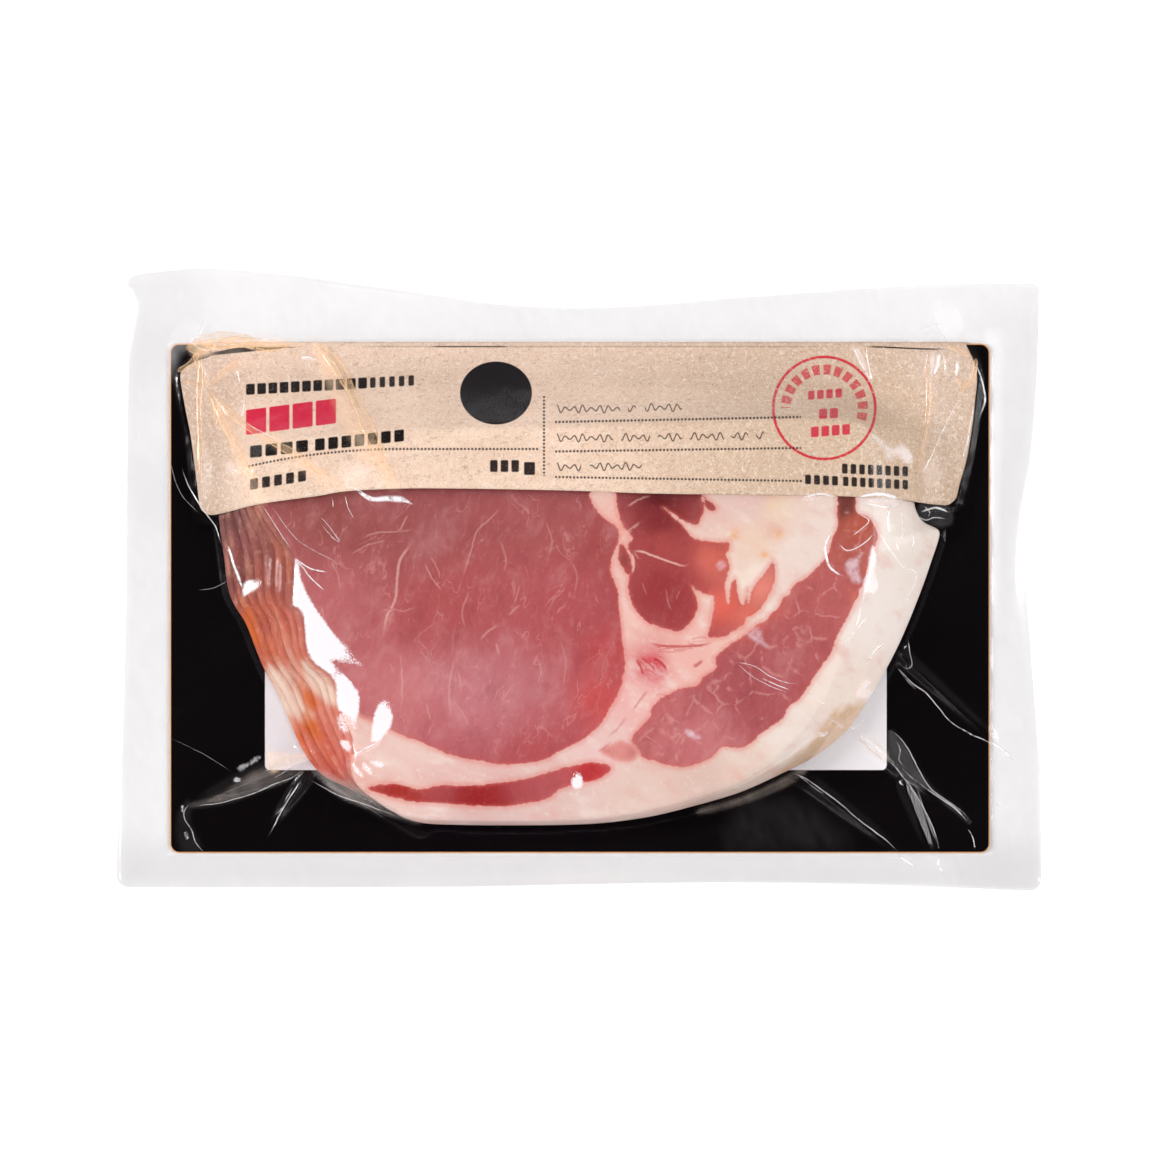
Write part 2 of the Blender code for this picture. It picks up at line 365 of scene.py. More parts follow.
STEP = 0.5
GX = np.arange(-118, 118.01, STEP)
GY = np.arange(-80, 80.01, STEP)
XX, YY = np.meshgrid(GX, GY)


def look(field, x, y):
    """Value of a grid field at any place."""
    u = np.clip((np.asarray(x) - GX[0]) / STEP, 0, len(GX) - 1.001)
    v = np.clip((np.asarray(y) - GY[0]) / STEP, 0, len(GY) - 1.001)
    iu, iv = u.astype(int), v.astype(int)
    fu, fv = u - iu, v - iv
    return (field[iv, iu] * (1 - fu) + field[iv, iu + 1] * fu) * (1 - fv) + (
        field[iv + 1, iu] * (1 - fu) + field[iv + 1, iu + 1] * fu
    ) * fv


def drape(floor, rounds, start=None, press=0.0):
    """A skin laid over a floor and pulled tight, that never sinks into it."""
    z = floor.copy() if start is None else np.maximum(start, floor)
    for _ in range(rounds):
        m = np.pad(z, 1, mode="edge")
        z = np.maximum(
            (m[:-2, 1:-1] + m[2:, 1:-1] + m[1:-1, :-2] + m[1:-1, 2:]) / 4 - press, floor
        )
    return z


def rounded_box(x, y, cx, cy, w, h, r):
    """Signed distance to a rounded rectangle: positive inside."""
    qx, qy = np.abs(x - cx) - w / 2 + r, np.abs(y - cy) - h / 2 + r
    return r - np.hypot(np.maximum(qx, 0), np.maximum(qy, 0)) - np.minimum(np.maximum(qx, qy), 0)


def edge_profile(depth, width):
    """Rounded edge of a soft slab: 0 at the edge, 1 from width inwards."""
    t = np.clip(depth / width, 0.0, 1.0)
    return np.sqrt(np.clip(1 - (1 - t) ** 2, 0, 1))


def thickness(x, y, i):
    t = SLICE_T * (1 - THIN_RIGHT * smooth(20.0, 92.0, x))
    return t * (1 + 0.05 * noise(x, y, 30, 60 + i))


EDGE_W = 1.5
on_board = rounded_box(XX, YY, BOARD_CX, BOARD_CY, BOARD_W, BOARD_H, BOARD_R)
level = np.where(on_board > 0, BOARD_TOP, FILM)
UNDER, OVER = [], []
for i in range(SLICES):
    under = drape(level, 26 if i else 0)
    depth = slice_depth(i, XX, YY)
    over = under + thickness(XX, YY, i) * edge_profile(depth, EDGE_W)
    UNDER.append(under)
    OVER.append(over)
    level = np.where(depth > 0, over, level)
STACK = level

# The paper flap: folded over the board's top edge, then down over the stack
FLAP_T = 0.4
FLAP_LOW_PX = [
    (214, 515), (226, 512.6), (262, 503.7), (318, 496), (344, 491.5), (390, 489), (440, 488.4),
    (560, 490.4), (657, 493.7), (775, 495.2), (833, 496), (892, 499), (930, 504), (948, 505.4),
]
FLAP_LEFT_PX = [(213, 345), (210, 356.5), (198, 360.5), (188, 365.5), (182, 371.5), (180.4, 379), (185.5, 409), (190.6, 435), (195.7, 473), (200.8, 515)]
FLAP_RIGHT_PX = [(955, 505), (959.5, 484.3), (966.8, 458), (972.7, 422.7), (975, 400), (977, 378.7), (974, 362), (966, 345)]
FOLD_Y = BOARD_CY + BOARD_H / 2
flap_under = drape(STACK + 0.02, 140)
pin = smooth(FOLD_Y - 5.0, FOLD_Y - 0.3, YY)
flap_under = flap_under * (1 - pin) + np.maximum(STACK + 0.02, BOARD_TOP + 0.02) * pin



# ------------------------------------------------------------------ slices ---
def rim_rows(count):
    """Depths under a slice's edge, where its rounded side is shaped finely."""
    return [0.0, 0.04, 0.12, 0.25, 0.42, 0.65, 0.9, 1.15, 1.5, 1.95, 2.5, 3.1][:count]


def slice_top(i, x, y, depth):
    z = look(UNDER[i], x, y) + thickness(x, y, i) * edge_profile(depth, EDGE_W)
    return z + 0.05 * noise(x, y, 6, 90 + i, 2) * smooth(0.5, 2.5, depth)


def slice_piece(i):
    """A lower slice: a soft slab that lies on those below, rounded at its edge."""
    a, r = ANGLES[::2], R[i][::2]
    tilt = np.sqrt(1 + (np.gradient(R[i], ANGLES)[::2] / r) ** 2)
    depths = [22, 18, 15, 12.5, 10.5, 8.8, 7.4, 6.2, 5.2, 4.4, 3.7]
    far = [r * 0.3, r * 0.55] + [r - d * tilt for d in depths]
    rows = far + [r - d * tilt for d in rim_rows(12)[::-1]]
    under = [r - d * tilt for d in (0.1, 0.5, 1.6, 5.0)] + [r * 0.5]
    direction = np.column_stack((np.cos(a), np.sin(a)))
    top = np.concatenate([CENTRE + direction * rr[:, None] for rr in rows])
    low = np.concatenate([CENTRE + direction * rr[:, None] for rr in under])
    depth = np.concatenate([(r - rr) / tilt for rr in rows])
    verts = np.vstack(
        (
            np.column_stack((top, slice_top(i, *top.T, depth))),
            np.column_stack((low, look(UNDER[i], *low.T) + 0.02)),
            [(*CENTRE, float(look(OVER[i], *CENTRE)))],
            [(*CENTRE, float(look(UNDER[i], *CENTRE)) + 0.02)],
        )
    )
    n, m = len(a), len(rows) + len(under)
    k = np.arange(n)
    last = (m - 1) * n
    faces = [tuple(f) for f in grid_faces(m, n, wrap=True)[:, ::-1]]
    faces += [(n * m, j, (j + 1) % n) for j in k]
    faces += [(n * m + 1, last + (j + 1) % n, last + j) for j in k]
    obj = piece(f"slice_{i + 1}", verts, faces)
    return obj, verts


def top_slice_piece():
    """The top slice: an even, fine grid pressed into the slice's outline."""
    i = SLICES - 1
    wide, high = 88.0, 49.0

    def steps(span, size, coarse=None):
        near = np.array(rim_rows(9)) / span
        ends = (-1 + near[-1], 1 - near[-1])
        if coarse is None:
            mid = np.linspace(*ends, int((ends[1] - ends[0]) * span / size))[1:-1]
        else:
            split = 0.50
            mid = np.concatenate(
                (
                    np.linspace(ends[0], split, int((split - ends[0]) * span / size))[1:],
                    np.linspace(split, ends[1], int((ends[1] - split) * span / coarse))[1:-1],
                )
            )
        return np.concatenate((-1 + near, mid, 1 - near[::-1]))

    u, v = np.meshgrid(steps(wide, 0.425), steps(high, 0.385, 1.0))
    dx, dy = u * np.sqrt(1 - v * v / 2), v * np.sqrt(1 - u * u / 2)
    share = np.hypot(dx, dy)
    a = np.mod(np.arctan2(dy * high, dx * wide), 2 * np.pi)
    r = share * np.interp(a, ANGLES, R[i], period=2 * np.pi)
    x, y = CENTRE[0] + r * np.cos(a), CENTRE[1] + r * np.sin(a)
    rows, cols = x.shape
    index = np.arange(rows * cols).reshape(rows, cols)
    rim = np.concatenate((index[0, :-1], index[:-1, -1], index[-1, ::-1][:-1], index[::-1, 0][:-1]))
    depth = np.maximum(slice_depth(i, x, y), 0)
    depth.ravel()[rim] = 0
    top = np.column_stack((x.ravel(), y.ravel(), slice_top(i, x, y, depth).ravel()))
    low = []
    for d in (0.5, 2.0, 8.0):
        xy = CENTRE + (top[rim, :2] - CENTRE) * (1 - d / 60)
        low.append(np.column_stack((xy, look(UNDER[i], *xy.T) + 0.02)))
    verts = np.vstack((top, *low, [(*CENTRE, float(look(UNDER[i], *CENTRE)) + 0.02)]))
    n, k = len(rim), len(top)
    rings = [rim] + [k + j * n + np.arange(n) for j in range(3)]
    faces = [tuple(f) for f in grid_faces(rows, cols)]
    for p, q in zip(rings[:-1], rings[1:]):
        faces += list(zip(p, q, np.roll(q, -1), np.roll(p, -1)))
    faces += [(a0, len(verts) - 1, b0) for a0, b0 in zip(rings[-1], np.roll(rings[-1], -1))]
    obj = piece(f"slice_{i + 1}", verts, faces)
    return obj, verts


SLICE_OBJ = [slice_piece(i) for i in range(SLICES - 1)] + [top_slice_piece()]


# ------------------------------------------------------------------- board ---
def rounded_outline(cx, cy, w, h, r, corner=8, across=24):
    pts = []
    for sx, sy, start in ((1, 1, 0), (-1, 1, 90), (-1, -1, 180), (1, -1, 270)):
        for k in range(corner + 1):
            t = math.radians(start + 90 * k / corner)
            pts.append((cx + sx * (w / 2 - r) + r * math.cos(t), cy + sy * (h / 2 - r) + r * math.sin(t)))
    out = []
    for p, q in zip(pts, pts[1:] + pts[:1]):
        n = max(1, int(math.hypot(q[0] - p[0], q[1] - p[1]) / 5))
        out += [(p[0] + (q[0] - p[0]) * k / n, p[1] + (q[1] - p[1]) * k / n) for k in range(n)]
    return np.array(out)


def board_piece():
    rings = []
    for inset, z in ((0.42, BOARD_TOP), (0.3, BOARD_TOP - 0.03), (0.0, BOARD_TOP - 0.16),
                     (0.0, FILM + 0.1), (0.12, FILM)):
        o = rounded_outline(BOARD_CX, BOARD_CY, BOARD_W - 2 * inset, BOARD_H - 2 * inset, BOARD_R - inset)
        rings.append(np.column_stack((o, np.full(len(o), z))))
    n = len(rings[0])
    verts = np.concatenate(rings)
    faces = [tuple(range(n))]
    faces += [tuple(f[::-1]) for f in grid_faces(len(rings), n, wrap=True)]
    faces += [tuple(range((len(rings) - 1) * n, len(rings) * n))[::-1]]
    obj = piece("board", verts, faces, smooth_shade=False)
    return obj


BOARD_OBJ = board_piece()


# -------------------------------------------------------------------- flap ---
def picture_curve(points, horizontal, field):
    """A drawn edge as a function: y of x, or x of y, in millimetres."""
    p = on_each(points, field)
    order = np.argsort(p[:, 0] if horizontal else p[:, 1])
    p = p[order]
    return (p[:, 0], p[:, 1]) if horizontal else (p[:, 1], p[:, 0])


def on_each(points, field, rounds=5):
    q = np.asarray(points, float)
    z = np.zeros(len(q))
    for _ in range(rounds):
        k = PX * (CAM - z) / CAM
        p = np.column_stack(((q[:, 0] - 580.5) * k + 0.25, -(q[:, 1] - 580.5) * k - 0.25))
        z = look(field, *p.T)
    return p


def picture(x, y, z):
    """Where a point in millimetres is seen in the picture."""
    k = CAM / (CAM - z) / PX
    return (x - 0.25) * k + 580.5, 580.5 - (y + 0.25) * k


def flap_piece():
    nu, nv = 300, 62
    low_x, low_y = picture_curve(spline(FLAP_LOW_PX, False), True, flap_under)
    lx_y, lx_x = picture_curve(spline(FLAP_LEFT_PX, False), False, flap_under)
    rx_y, rx_x = picture_curve(spline(FLAP_RIGHT_PX, False), False, flap_under)
    u = np.linspace(0, 1, nu)[None, :]
    v = np.linspace(0, 1, nv)[:, None]
    top_y = FOLD_Y + 0.1
    x = -94 + 188 * u + 0 * v
    y = top_y - 38 * v + 0 * u
    for _ in range(4):
        left = np.interp(y, lx_y, lx_x)
        right = np.interp(y, rx_y, rx_x)
        x = left + (right - left) * u
        low = np.interp(x, low_x, low_y)
        y = top_y + (low - top_y) * v
    # round the two lower corners
    for side in (0, 1):
        r = 2.6
        cols = slice(0, 8) if side == 0 else slice(-8, None)
        edge = x[:, :1] if side == 0 else x[:, -1:]
        a = np.clip(r - np.abs(x[:, cols] - edge), 0, r)
        b = np.clip(r - (y[:, cols] - np.interp(edge, low_x, low_y)), 0, r)
        k = np.maximum(a, b) / np.maximum(np.hypot(a, b), 1e-6)
        k = np.where((a > 0) & (b > 0), k, 1.0)
        sign = 1 if side == 0 else -1
        x[:, cols] += sign * (a - a * k)
        y[:, cols] += b - b * k
    z = look(flap_under, x, y) + 0.03 + 0.06 * noise(x, y, 14, 5, 2) + 0.06
    top = z + FLAP_T
    # the end at the fold closes round the board's edge
    fold = np.exp(-(np.arange(nv)[:, None] / 1.2) ** 2) + 0 * u
    top_z = top - 0.25 * fold
    rows_top = [np.column_stack((x[j], y[j], top_z[j])) for j in range(nv)]
    rows_low = [np.column_stack((x[j], y[j], z[j] + 0.0)) for j in range(nv)]
    wrap = [
        np.column_stack((x[0], y[0] + 0.28, np.full(nu, BOARD_TOP - 0.02))),
        np.column_stack((x[0], y[0] + 0.30, np.full(nu, FILM + 0.16))),
        np.column_stack((x[0], y[0] + 0.05, np.full(nu, FILM + 0.03))),
    ]
    top_grid = np.concatenate(rows_top[::-1] + wrap)          # low edge -> fold -> round it
    low_grid = np.concatenate(rows_low)                       # fold -> low edge, underneath
    rows = nv + len(wrap) + nv
    verts = np.concatenate((top_grid, low_grid))
    quads = grid_faces(rows, nu)
    closing = []
    first, last = 0, (rows - 1) * nu
    for c in range(nu - 1):
        closing.append((first + c, first + c + 1, last + c + 1, last + c))
    m = nv + len(wrap)
    ends = []
    for c in (0, nu - 1):
        ring = [r * nu + c for r in range(rows)]
        # side wall: pair each top row with the row under it
        for j in range(nv - 1):
            a, b = ring[j], ring[j + 1]
            d, e = ring[rows - 1 - j], ring[rows - 2 - j]
            ends.append((a, b, e, d) if c else (b, a, d, e))
        tail = ring[nv - 1: m + 1]
        ends.append(tuple(tail) if c else tuple(tail[::-1]))
    faces = [tuple(f) for f in quads] + [f[::-1] for f in closing] + ends
    obj = piece("paper_flap", verts, faces)
    px, py = picture(verts[:, 0], verts[:, 1], verts[:, 2])
    attribute(obj, "seen_x", px)
    attribute(obj, "seen_y", py)
    return obj, x, y, top


FLAP_OBJ, FX, FY, FZ = flap_piece()
flap_in = np.minimum(
    np.minimum(
        XX - np.interp(YY, *picture_curve(FLAP_LEFT_PX, False, flap_under)),
        np.interp(YY, *picture_curve(FLAP_RIGHT_PX, False, flap_under)) - XX,
    ),
    YY - np.interp(XX, *picture_curve(FLAP_LOW_PX, True, flap_under)),
)
flap_in = np.minimum(flap_in, FOLD_Y + 0.4 - YY)
paper = np.maximum(STACK, flap_under + 0.15 + FLAP_T)
CONTENTS = STACK + (paper - STACK) * smooth(-0.95, 0.05, flap_in)

# -------------------------------------------------------------------- film ---
POUCH_W, POUCH_H, CUT_R, MARGIN_WAVE = 231.0, 155.5, 3.0, 1.5
TOP_IN = (2.2, 0.3, 1.4, 3.9, 6.6, 9.2, 10.0, 9.2, 7.6, 6.2, 4.8, 4.0, 3.9)
BOTTOM_IN = (0.9, 0.9, 0.9, 1.1, 1.7, 2.1, 1.9, 1.1, 0.0)
LEFT_IN = (0.0, 0.3, 0.6, 1.3, 1.7, 1.8, 1.9, 2.1, 2.4)
RIGHT_IN = (0.2, 0.4, 0.8, 2.4, 3.9, 3.2, 1.4, 0.2, 0.1)


def film_grid():
    """Film vertices: even over the board, stretched to the cut edge outside it."""
    gap = 0.7
    xb = (BOARD_CX - BOARD_W / 2 - gap, BOARD_CX + BOARD_W / 2 + gap)
    yb = (BOARD_CY - BOARD_H / 2 - gap, BOARD_CY + BOARD_H / 2 + gap)
    ml, mr, mb, mt = 12, 12, 10, 17
    inner_x = np.linspace(*xb, 321)
    inner_y = np.linspace(*yb, 200)
    kx = np.concatenate((-np.linspace(1, 0, ml + 1)[:-1], np.zeros(len(inner_x)), np.linspace(0, 1, mr + 1)[1:]))
    ky = np.concatenate((-np.linspace(1, 0, mb + 1)[:-1], np.zeros(len(inner_y)), np.linspace(0, 1, mt + 1)[1:]))
    bx = np.concatenate((np.full(ml, xb[0]), inner_x, np.full(mr, xb[1])))
    by = np.concatenate((np.full(mb, yb[0]), inner_y, np.full(mt, yb[1])))
    kx, ky = np.meshgrid(kx, ky)
    x, y = np.meshgrid(bx, by)
    w, h = POUCH_W / 2, POUCH_H / 2
    for _ in range(5):
        cut_r = w - sample(RIGHT_IN, (y / h + 1) / 2)
        cut_l = -w + sample(LEFT_IN, (y / h + 1) / 2)
        cut_t = h - sample(TOP_IN, (x / w + 1) / 2)
        cut_b = -h + sample(BOTTOM_IN, (x / w + 1) / 2)
        x = np.where(kx > 0, xb[1] + kx * (cut_r - xb[1]), np.where(kx < 0, xb[0] + kx * (xb[0] - cut_l), x))
        y = np.where(ky > 0, yb[1] + ky * (cut_t - yb[1]), np.where(ky < 0, yb[0] + ky * (yb[0] - cut_b), y))
    # rounded cut corners
    for sx in (-1, 1):
        for sy in (-1, 1):
            ex = cut_r if sx > 0 else cut_l
            ey = cut_t if sy > 0 else cut_b
            a = np.clip(CUT_R - sx * (ex - x), 0, CUT_R)
            b = np.clip(CUT_R - sy * (ey - y), 0, CUT_R)
            both = (a > 0) & (b > 0)
            k = np.where(both, np.maximum(a, b) / np.maximum(np.hypot(a, b), 1e-9), 1.0)
            x = x - sx * (a - a * k)
            y = y - sy * (b - b * k)
    return x, y, np.maximum(np.abs(kx), np.abs(ky))


FILM_X, FILM_Y, OUT = film_grid()

# Webs: loose film gathered in folds that run from the stack down to the board.
# (start by the stack, end, height at the start, half width)
WEBS_PX = [
    ((309, 758), (186, 806), 6.0, 1.5), ((306, 776), (268, 832), 3.0, 0.8),
    ((862, 736), (944, 806), 4.5, 1.3), ((905, 786), (938, 872), 2.0, 0.8),
    ((794, 772), (916, 864), 3.0, 0.9), ((893, 648), (1012, 756), 2.6, 0.8),
    ((419, 826), (318, 770), 3.0, 1.6),
]


def web_level(x, y):
    best = np.zeros(x.shape)
    for a, b, height, half in WEBS_PX:
        a, b = at(a, 3.0), at(b, 1.0)
        e = b - a
        ln = math.hypot(*e)
        t = ((x - a[0]) * e[0] + (y - a[1]) * e[1]) / (ln * ln)
        off = np.abs((x - a[0]) * e[1] - (y - a[1]) * e[0]) / ln
        along = (1 - np.clip(t, 0, 1)) ** 1.2 * smooth(-0.12, 0.0, t) * (t < 1)
        best = np.maximum(best, height * along * np.exp(-np.abs(off / half) ** 1.3))
    return best


def widen(field, rounds):
    for _ in range(rounds):
        m = np.pad(field, 1, mode="edge")
        field = np.maximum.reduce(
            [m[1:-1, 1:-1], m[:-2, 1:-1], m[2:, 1:-1], m[1:-1, :-2], m[1:-1, 2:]]
        )
    return field


webs = web_level(XX, YY)
taut = np.maximum(widen(CONTENTS, 1), np.where(webs > 0.05, BOARD_TOP + webs, 0)) + 0.07
SKIN = drape(taut, 3)
# small dents and gathers where the film is sucked in
SKIN = SKIN + 0.06 * (1 + noise(XX, YY, 5.5, 301, 2)) * (on_board > 0)
SKIN = SKIN + 0.035 * (1 + noise(XX * 0.8 + YY * 0.6, YY * 0.45 - XX * 0.34, 2.6, 302, 1)) * (on_board > 0)
wave = 1 + 0.55 * np.sin(3 * np.arctan2(FILM_Y, FILM_X) + 1.0) + 0.35 * np.sin(
    5 * np.arctan2(FILM_Y, FILM_X) + 2.3
)
LIFT = np.where(OUT > 0, MARGIN_WAVE * np.maximum(0.08, wave) * OUT**2, 0)
FILM_Z = np.where(OUT > 0, 0.25 + LIFT, look(SKIN, FILM_X, FILM_Y))
beside = (OUT > 0) & (OUT < 0.2)
FILM_Z = np.where(beside, np.maximum(FILM_Z, 0.7 - 3.0 * OUT), FILM_Z)


def film_piece():
    rows, cols = FILM_X.shape
    n = rows * cols
    low_z = LIFT + 0.02
    low_z = np.minimum(low_z, FILM_Z - 0.08)
    top = np.column_stack((FILM_X.ravel(), FILM_Y.ravel(), FILM_Z.ravel()))
    low = np.column_stack((FILM_X.ravel(), FILM_Y.ravel(), low_z.ravel()))
    quads = grid_faces(rows, cols)
    keep = (OUT.ravel()[quads] > 0).any(axis=1)
    low_quads = quads[keep][:, ::-1]
    # the rim joins both sheets
    index = np.arange(n).reshape(rows, cols)
    rim = np.concatenate((index[0, :-1], index[:-1, -1], index[-1, ::-1][:-1], index[::-1, 0][:-1]))
    nxt = np.roll(rim, -1)
    walls = np.column_stack((rim, rim + n, nxt + n, nxt))[:, ::-1]
    # the flat sheet under the board is one face
    inside = OUT == 0
    r0, r1 = np.where(inside.any(axis=1))[0][[0, -1]]
    c0, c1 = np.where(inside.any(axis=0))[0][[0, -1]]
    ring = np.concatenate((index[r0, c0:c1], index[r0:r1, c1], index[r1, c1:c0:-1], index[r1:r0:-1, c0]))
    faces = [tuple(q) for q in quads] + [tuple(q + n) for q in low_quads]
    faces += [tuple(w) for w in walls] + [tuple((ring + n)[::-1])]
    verts = np.vstack((top, low))
    used = np.zeros(2 * n, bool)
    for f in (quads.ravel(), low_quads.ravel() + n, walls.ravel(), ring + n):
        used[f] = True
    remap = np.cumsum(used) - 1
    faces = [tuple(int(remap[k]) for k in f) for f in faces]
    obj = piece("film", verts[used], faces)
    return obj, used


FILM_OBJ, FILM_USED = film_piece()


# ----------------------------------------------------- where the lean lies ---
def region(points, x, y, steps=4):
    """Signed distance in millimetres to an outline drawn on the picture."""
    return PX * inside_distance(x, y, spline(points, True, steps))


def blend(anchors, x, y):
    """A colour that drifts between a few named ones: (x, y, colour, reach)."""
    total, weight = np.zeros((len(x), 3)), np.zeros(len(x))
    for ax, ay, colour, reach in anchors:
        w = 1.0 / (((x - ax) ** 2 + (y - ay) ** 2) / reach**2 + 0.12) ** 1.6
        total += w[:, None] * linear(*colour)
        weight += w
    return total / weight[:, None]


EYE = [
    (589, 470), (589, 494), (592.8, 504), (599, 513), (607.4, 520.6), (617, 528.3), (618.3, 537.2),
    (617, 546), (611.9, 557.6), (610.6, 569), (613.2, 579.3), (618.3, 592), (618.9, 604.8),
    (620.8, 624), (622.7, 643), (624.6, 659.6), (624.8, 669), (620, 688.4), (611.5, 705.4),
    (601.8, 722.4), (589.7, 734.5), (580, 740.5), (562, 750), (537, 762), (499, 764), (459.5, 756.8),
    (441, 751), (420.5, 741.8), (402, 735), (390.6, 730.3), (379, 723), (362, 716), (350, 704),
    (335, 690), (322, 676), (300, 650), (270, 600), (235, 540), (235, 470), (400, 462),
]
DARK = [
    (615.7, 478), (615.7, 494), (617, 506.6), (621, 520), (626, 530), (633, 538), (627, 546), (633, 556),
    (634, 566), (631, 573), (629, 579.3), (628.5, 589.5), (631, 599.7), (634.8, 608.6), (641.2, 616.3),
    (646.3, 621.4), (654, 625.2), (666.7, 629), (674.4, 631), (682, 629.7), (689.7, 623.9),
    (694.8, 616.3), (697.3, 607.3), (696.7, 598.4), (693.5, 590.8), (688.6, 583), (692.2, 585.5),
    (697.3, 590), (705, 593.5), (712.7, 595), (714.5, 600), (713, 612.4), (710.5, 625.2), (707.6, 634),
    (709.5, 637.6), (724, 636.7), (733, 631.6), (743.3, 625.2), (747, 617.6), (758.6, 611.2),
    (765, 602.2), (771.3, 590.8), (775.2, 576.7), (773, 562), (755, 557), (735, 557), (730, 550),
    (729, 543), (720.3, 542.3), (702.4, 541), (693, 538), (687.1, 532), (681, 523.4), (673, 516.5),
    (662.5, 506.4), (671.8, 513.2), (680.8, 519), (688.4, 522.6), (696, 525), (700.2, 520.5),
    (703.7, 509), (701.2, 497.7), (701, 478),
]
FINGERS = [
    (727, 552), (729, 564), (728, 573), (725, 584), (725.5, 597), (728.6, 605.6), (730.2, 597),
    (731.2, 586), (735.5, 579), (737.2, 590), (740, 601), (743.3, 604.8), (746, 598), (747.4, 589),
    (747.6, 597), (748.6, 604), (752, 590), (758, 580), (764, 574), (770.5, 565), (776, 552),
    (762, 546), (742, 546),
]
LONG = [
    (838, 480), (838, 500), (837, 513), (838, 526), (831, 543.6), (827, 557.3), (819.5, 565), (807, 577.2),
    (793.5, 586.4), (790.4, 594), (782.8, 598.7), (778, 607.9), (770.5, 614), (767, 620), (758, 623.9),
    (746, 634.6), (735.3, 640.8), (725, 648.9), (716, 657.9), (716, 668.6), (703.6, 677.5),
    (696.4, 685.5), (678.6, 689), (660.7, 698.9), (651.8, 707.9), (650, 716.8), (641, 727.5),
    (631, 740), (638.4, 750.7), (644.6, 757.9), (655.4, 760.5), (667.9, 765), (682, 767), (700, 763.2),
    (714.3, 754.3), (723.2, 747), (737.5, 748), (748.2, 744.5), (758.9, 735.5), (767.9, 729.3),
    (782, 718.6), (789.3, 706), (800, 698.9), (814.3, 675.7), (825.6, 661.4), (830.4, 654.3),
    (834.8, 641.5), (840.9, 629.3), (847, 618.6), (853, 606.3), (857.8, 595.6), (860, 589.5),
    (863.9, 583.4), (866.9, 569.6), (870.8, 555.8), (876, 543.6), (878.4, 537.5), (876, 528.3),
    (868.5, 517.6), (857, 512), (855, 500), (853, 480),
]
STREAK = [
    (367.7, 788.9), (381.4, 784.3), (399.8, 784.3), (420.5, 790), (441, 785.5), (459.5, 785.5),
    (483, 785), (505, 782), (530, 778), (562, 769), (588, 763), (604, 763.5), (611.5, 768.4),
    (604, 775.7), (592, 780.5), (580, 783), (560, 789), (546, 799), (515, 805), (483, 806),
    (459.5, 805), (429.7, 802.7), (406.7, 800.4), (388.3, 795.8),
]
FAINT = [
    (603.6, 750.7), (610.7, 747), (619.6, 743.6), (630.4, 745.4), (636.6, 751.6), (633.9, 757.9),
    (623.2, 760), (612.5, 756),
]
NOTCH = [(700, 480), (706, 497), (716, 507), (711, 511), (705, 505)]

LEAN_COLOURS = [
    (420, 520, (164, 88, 88), 80), (330, 520, (158, 86, 82), 45), (540, 510, (172, 90, 90), 60),
    (330, 600, (190, 106, 108), 45), (450, 610, (180, 86, 88), 80), (560, 610, (182, 86, 90), 60),
    (480, 700, (194, 109, 115), 80), (400, 690, (204, 122, 124), 50), (530, 750, (184, 84, 88), 40),
    (604, 650, (192, 80, 82), 26), (598, 700, (206, 86, 86), 24), (600, 545, (170, 80, 80), 24),
    # the colour at (660, 496) is a painted shadow under the flap's lower edge
    (660, 496, (98, 22, 28), 20), (660, 520, (136, 46, 50), 24), (660, 545, (176, 76, 74), 26), (666, 595, (160, 58, 62), 36),
    (712, 560, (216, 108, 94), 18), (722, 605, (228, 104, 88), 17), (750, 618, (226, 118, 100), 14),
    (762, 590, (232, 138, 122), 16),
    (846, 508, (120, 62, 52), 12), (856, 525, (186, 92, 74), 15), (852, 560, (186, 98, 86), 15), (835, 600, (190, 100, 98), 30),
    (790, 640, (182, 92, 94), 34), (740, 690, (176, 88, 92), 40), (690, 735, (200, 114, 116), 40),
    (856, 598, (204, 104, 90), 11), (780, 612, (200, 100, 96), 12),
    (400, 795, (170, 46, 38), 26), (480, 795, (158, 34, 36), 40), (590, 772, (194, 54, 58), 22),
    (618, 752, (224, 150, 142), 14), (625, 560, (150, 72, 66), 7),
]
FAT_COLOURS = [
    (350, 780, (234, 180, 168), 26), (400, 760, (238, 204, 194), 34), (460, 772, (232, 190, 182), 40),
    (480, 815, (222, 188, 182), 34), (560, 812, (228, 196, 188), 40), (600, 760, (238, 200, 196), 24),
    (640, 700, (240, 184, 178), 24), (632, 620, (242, 196, 186), 16), (690, 660, (240, 186, 176), 26),
    (653, 668, (214, 72, 88), 15), (720, 640, (242, 192, 180), 14), (625, 520, (240, 186, 172), 9),
    (640, 790, (232, 202, 190), 40), (700, 782, (226, 194, 182), 30), (750, 770, (234, 210, 196), 30),
    (790, 735, (242, 226, 216), 30), (815, 560, (240, 220, 210), 26), (757, 540, (240, 209, 188), 15),
    (750, 500, (234, 200, 190), 24), (800, 575, (240, 214, 204), 20), (845, 685, (246, 228, 216), 30),
    (875, 610, (247, 234, 226), 34), (900, 540, (244, 231, 221), 30), (925, 560, (238, 225, 215), 24),
    (735, 534, (236, 176, 134), 4), (764, 555, (240, 180, 136), 4), (778, 534, (240, 186, 146), 4),
    (738, 582, (246, 226, 210), 8), (755, 572, (246, 226, 212), 8), (702, 588, (240, 196, 180), 7),
    (775, 505, (240, 208, 180), 14),
]
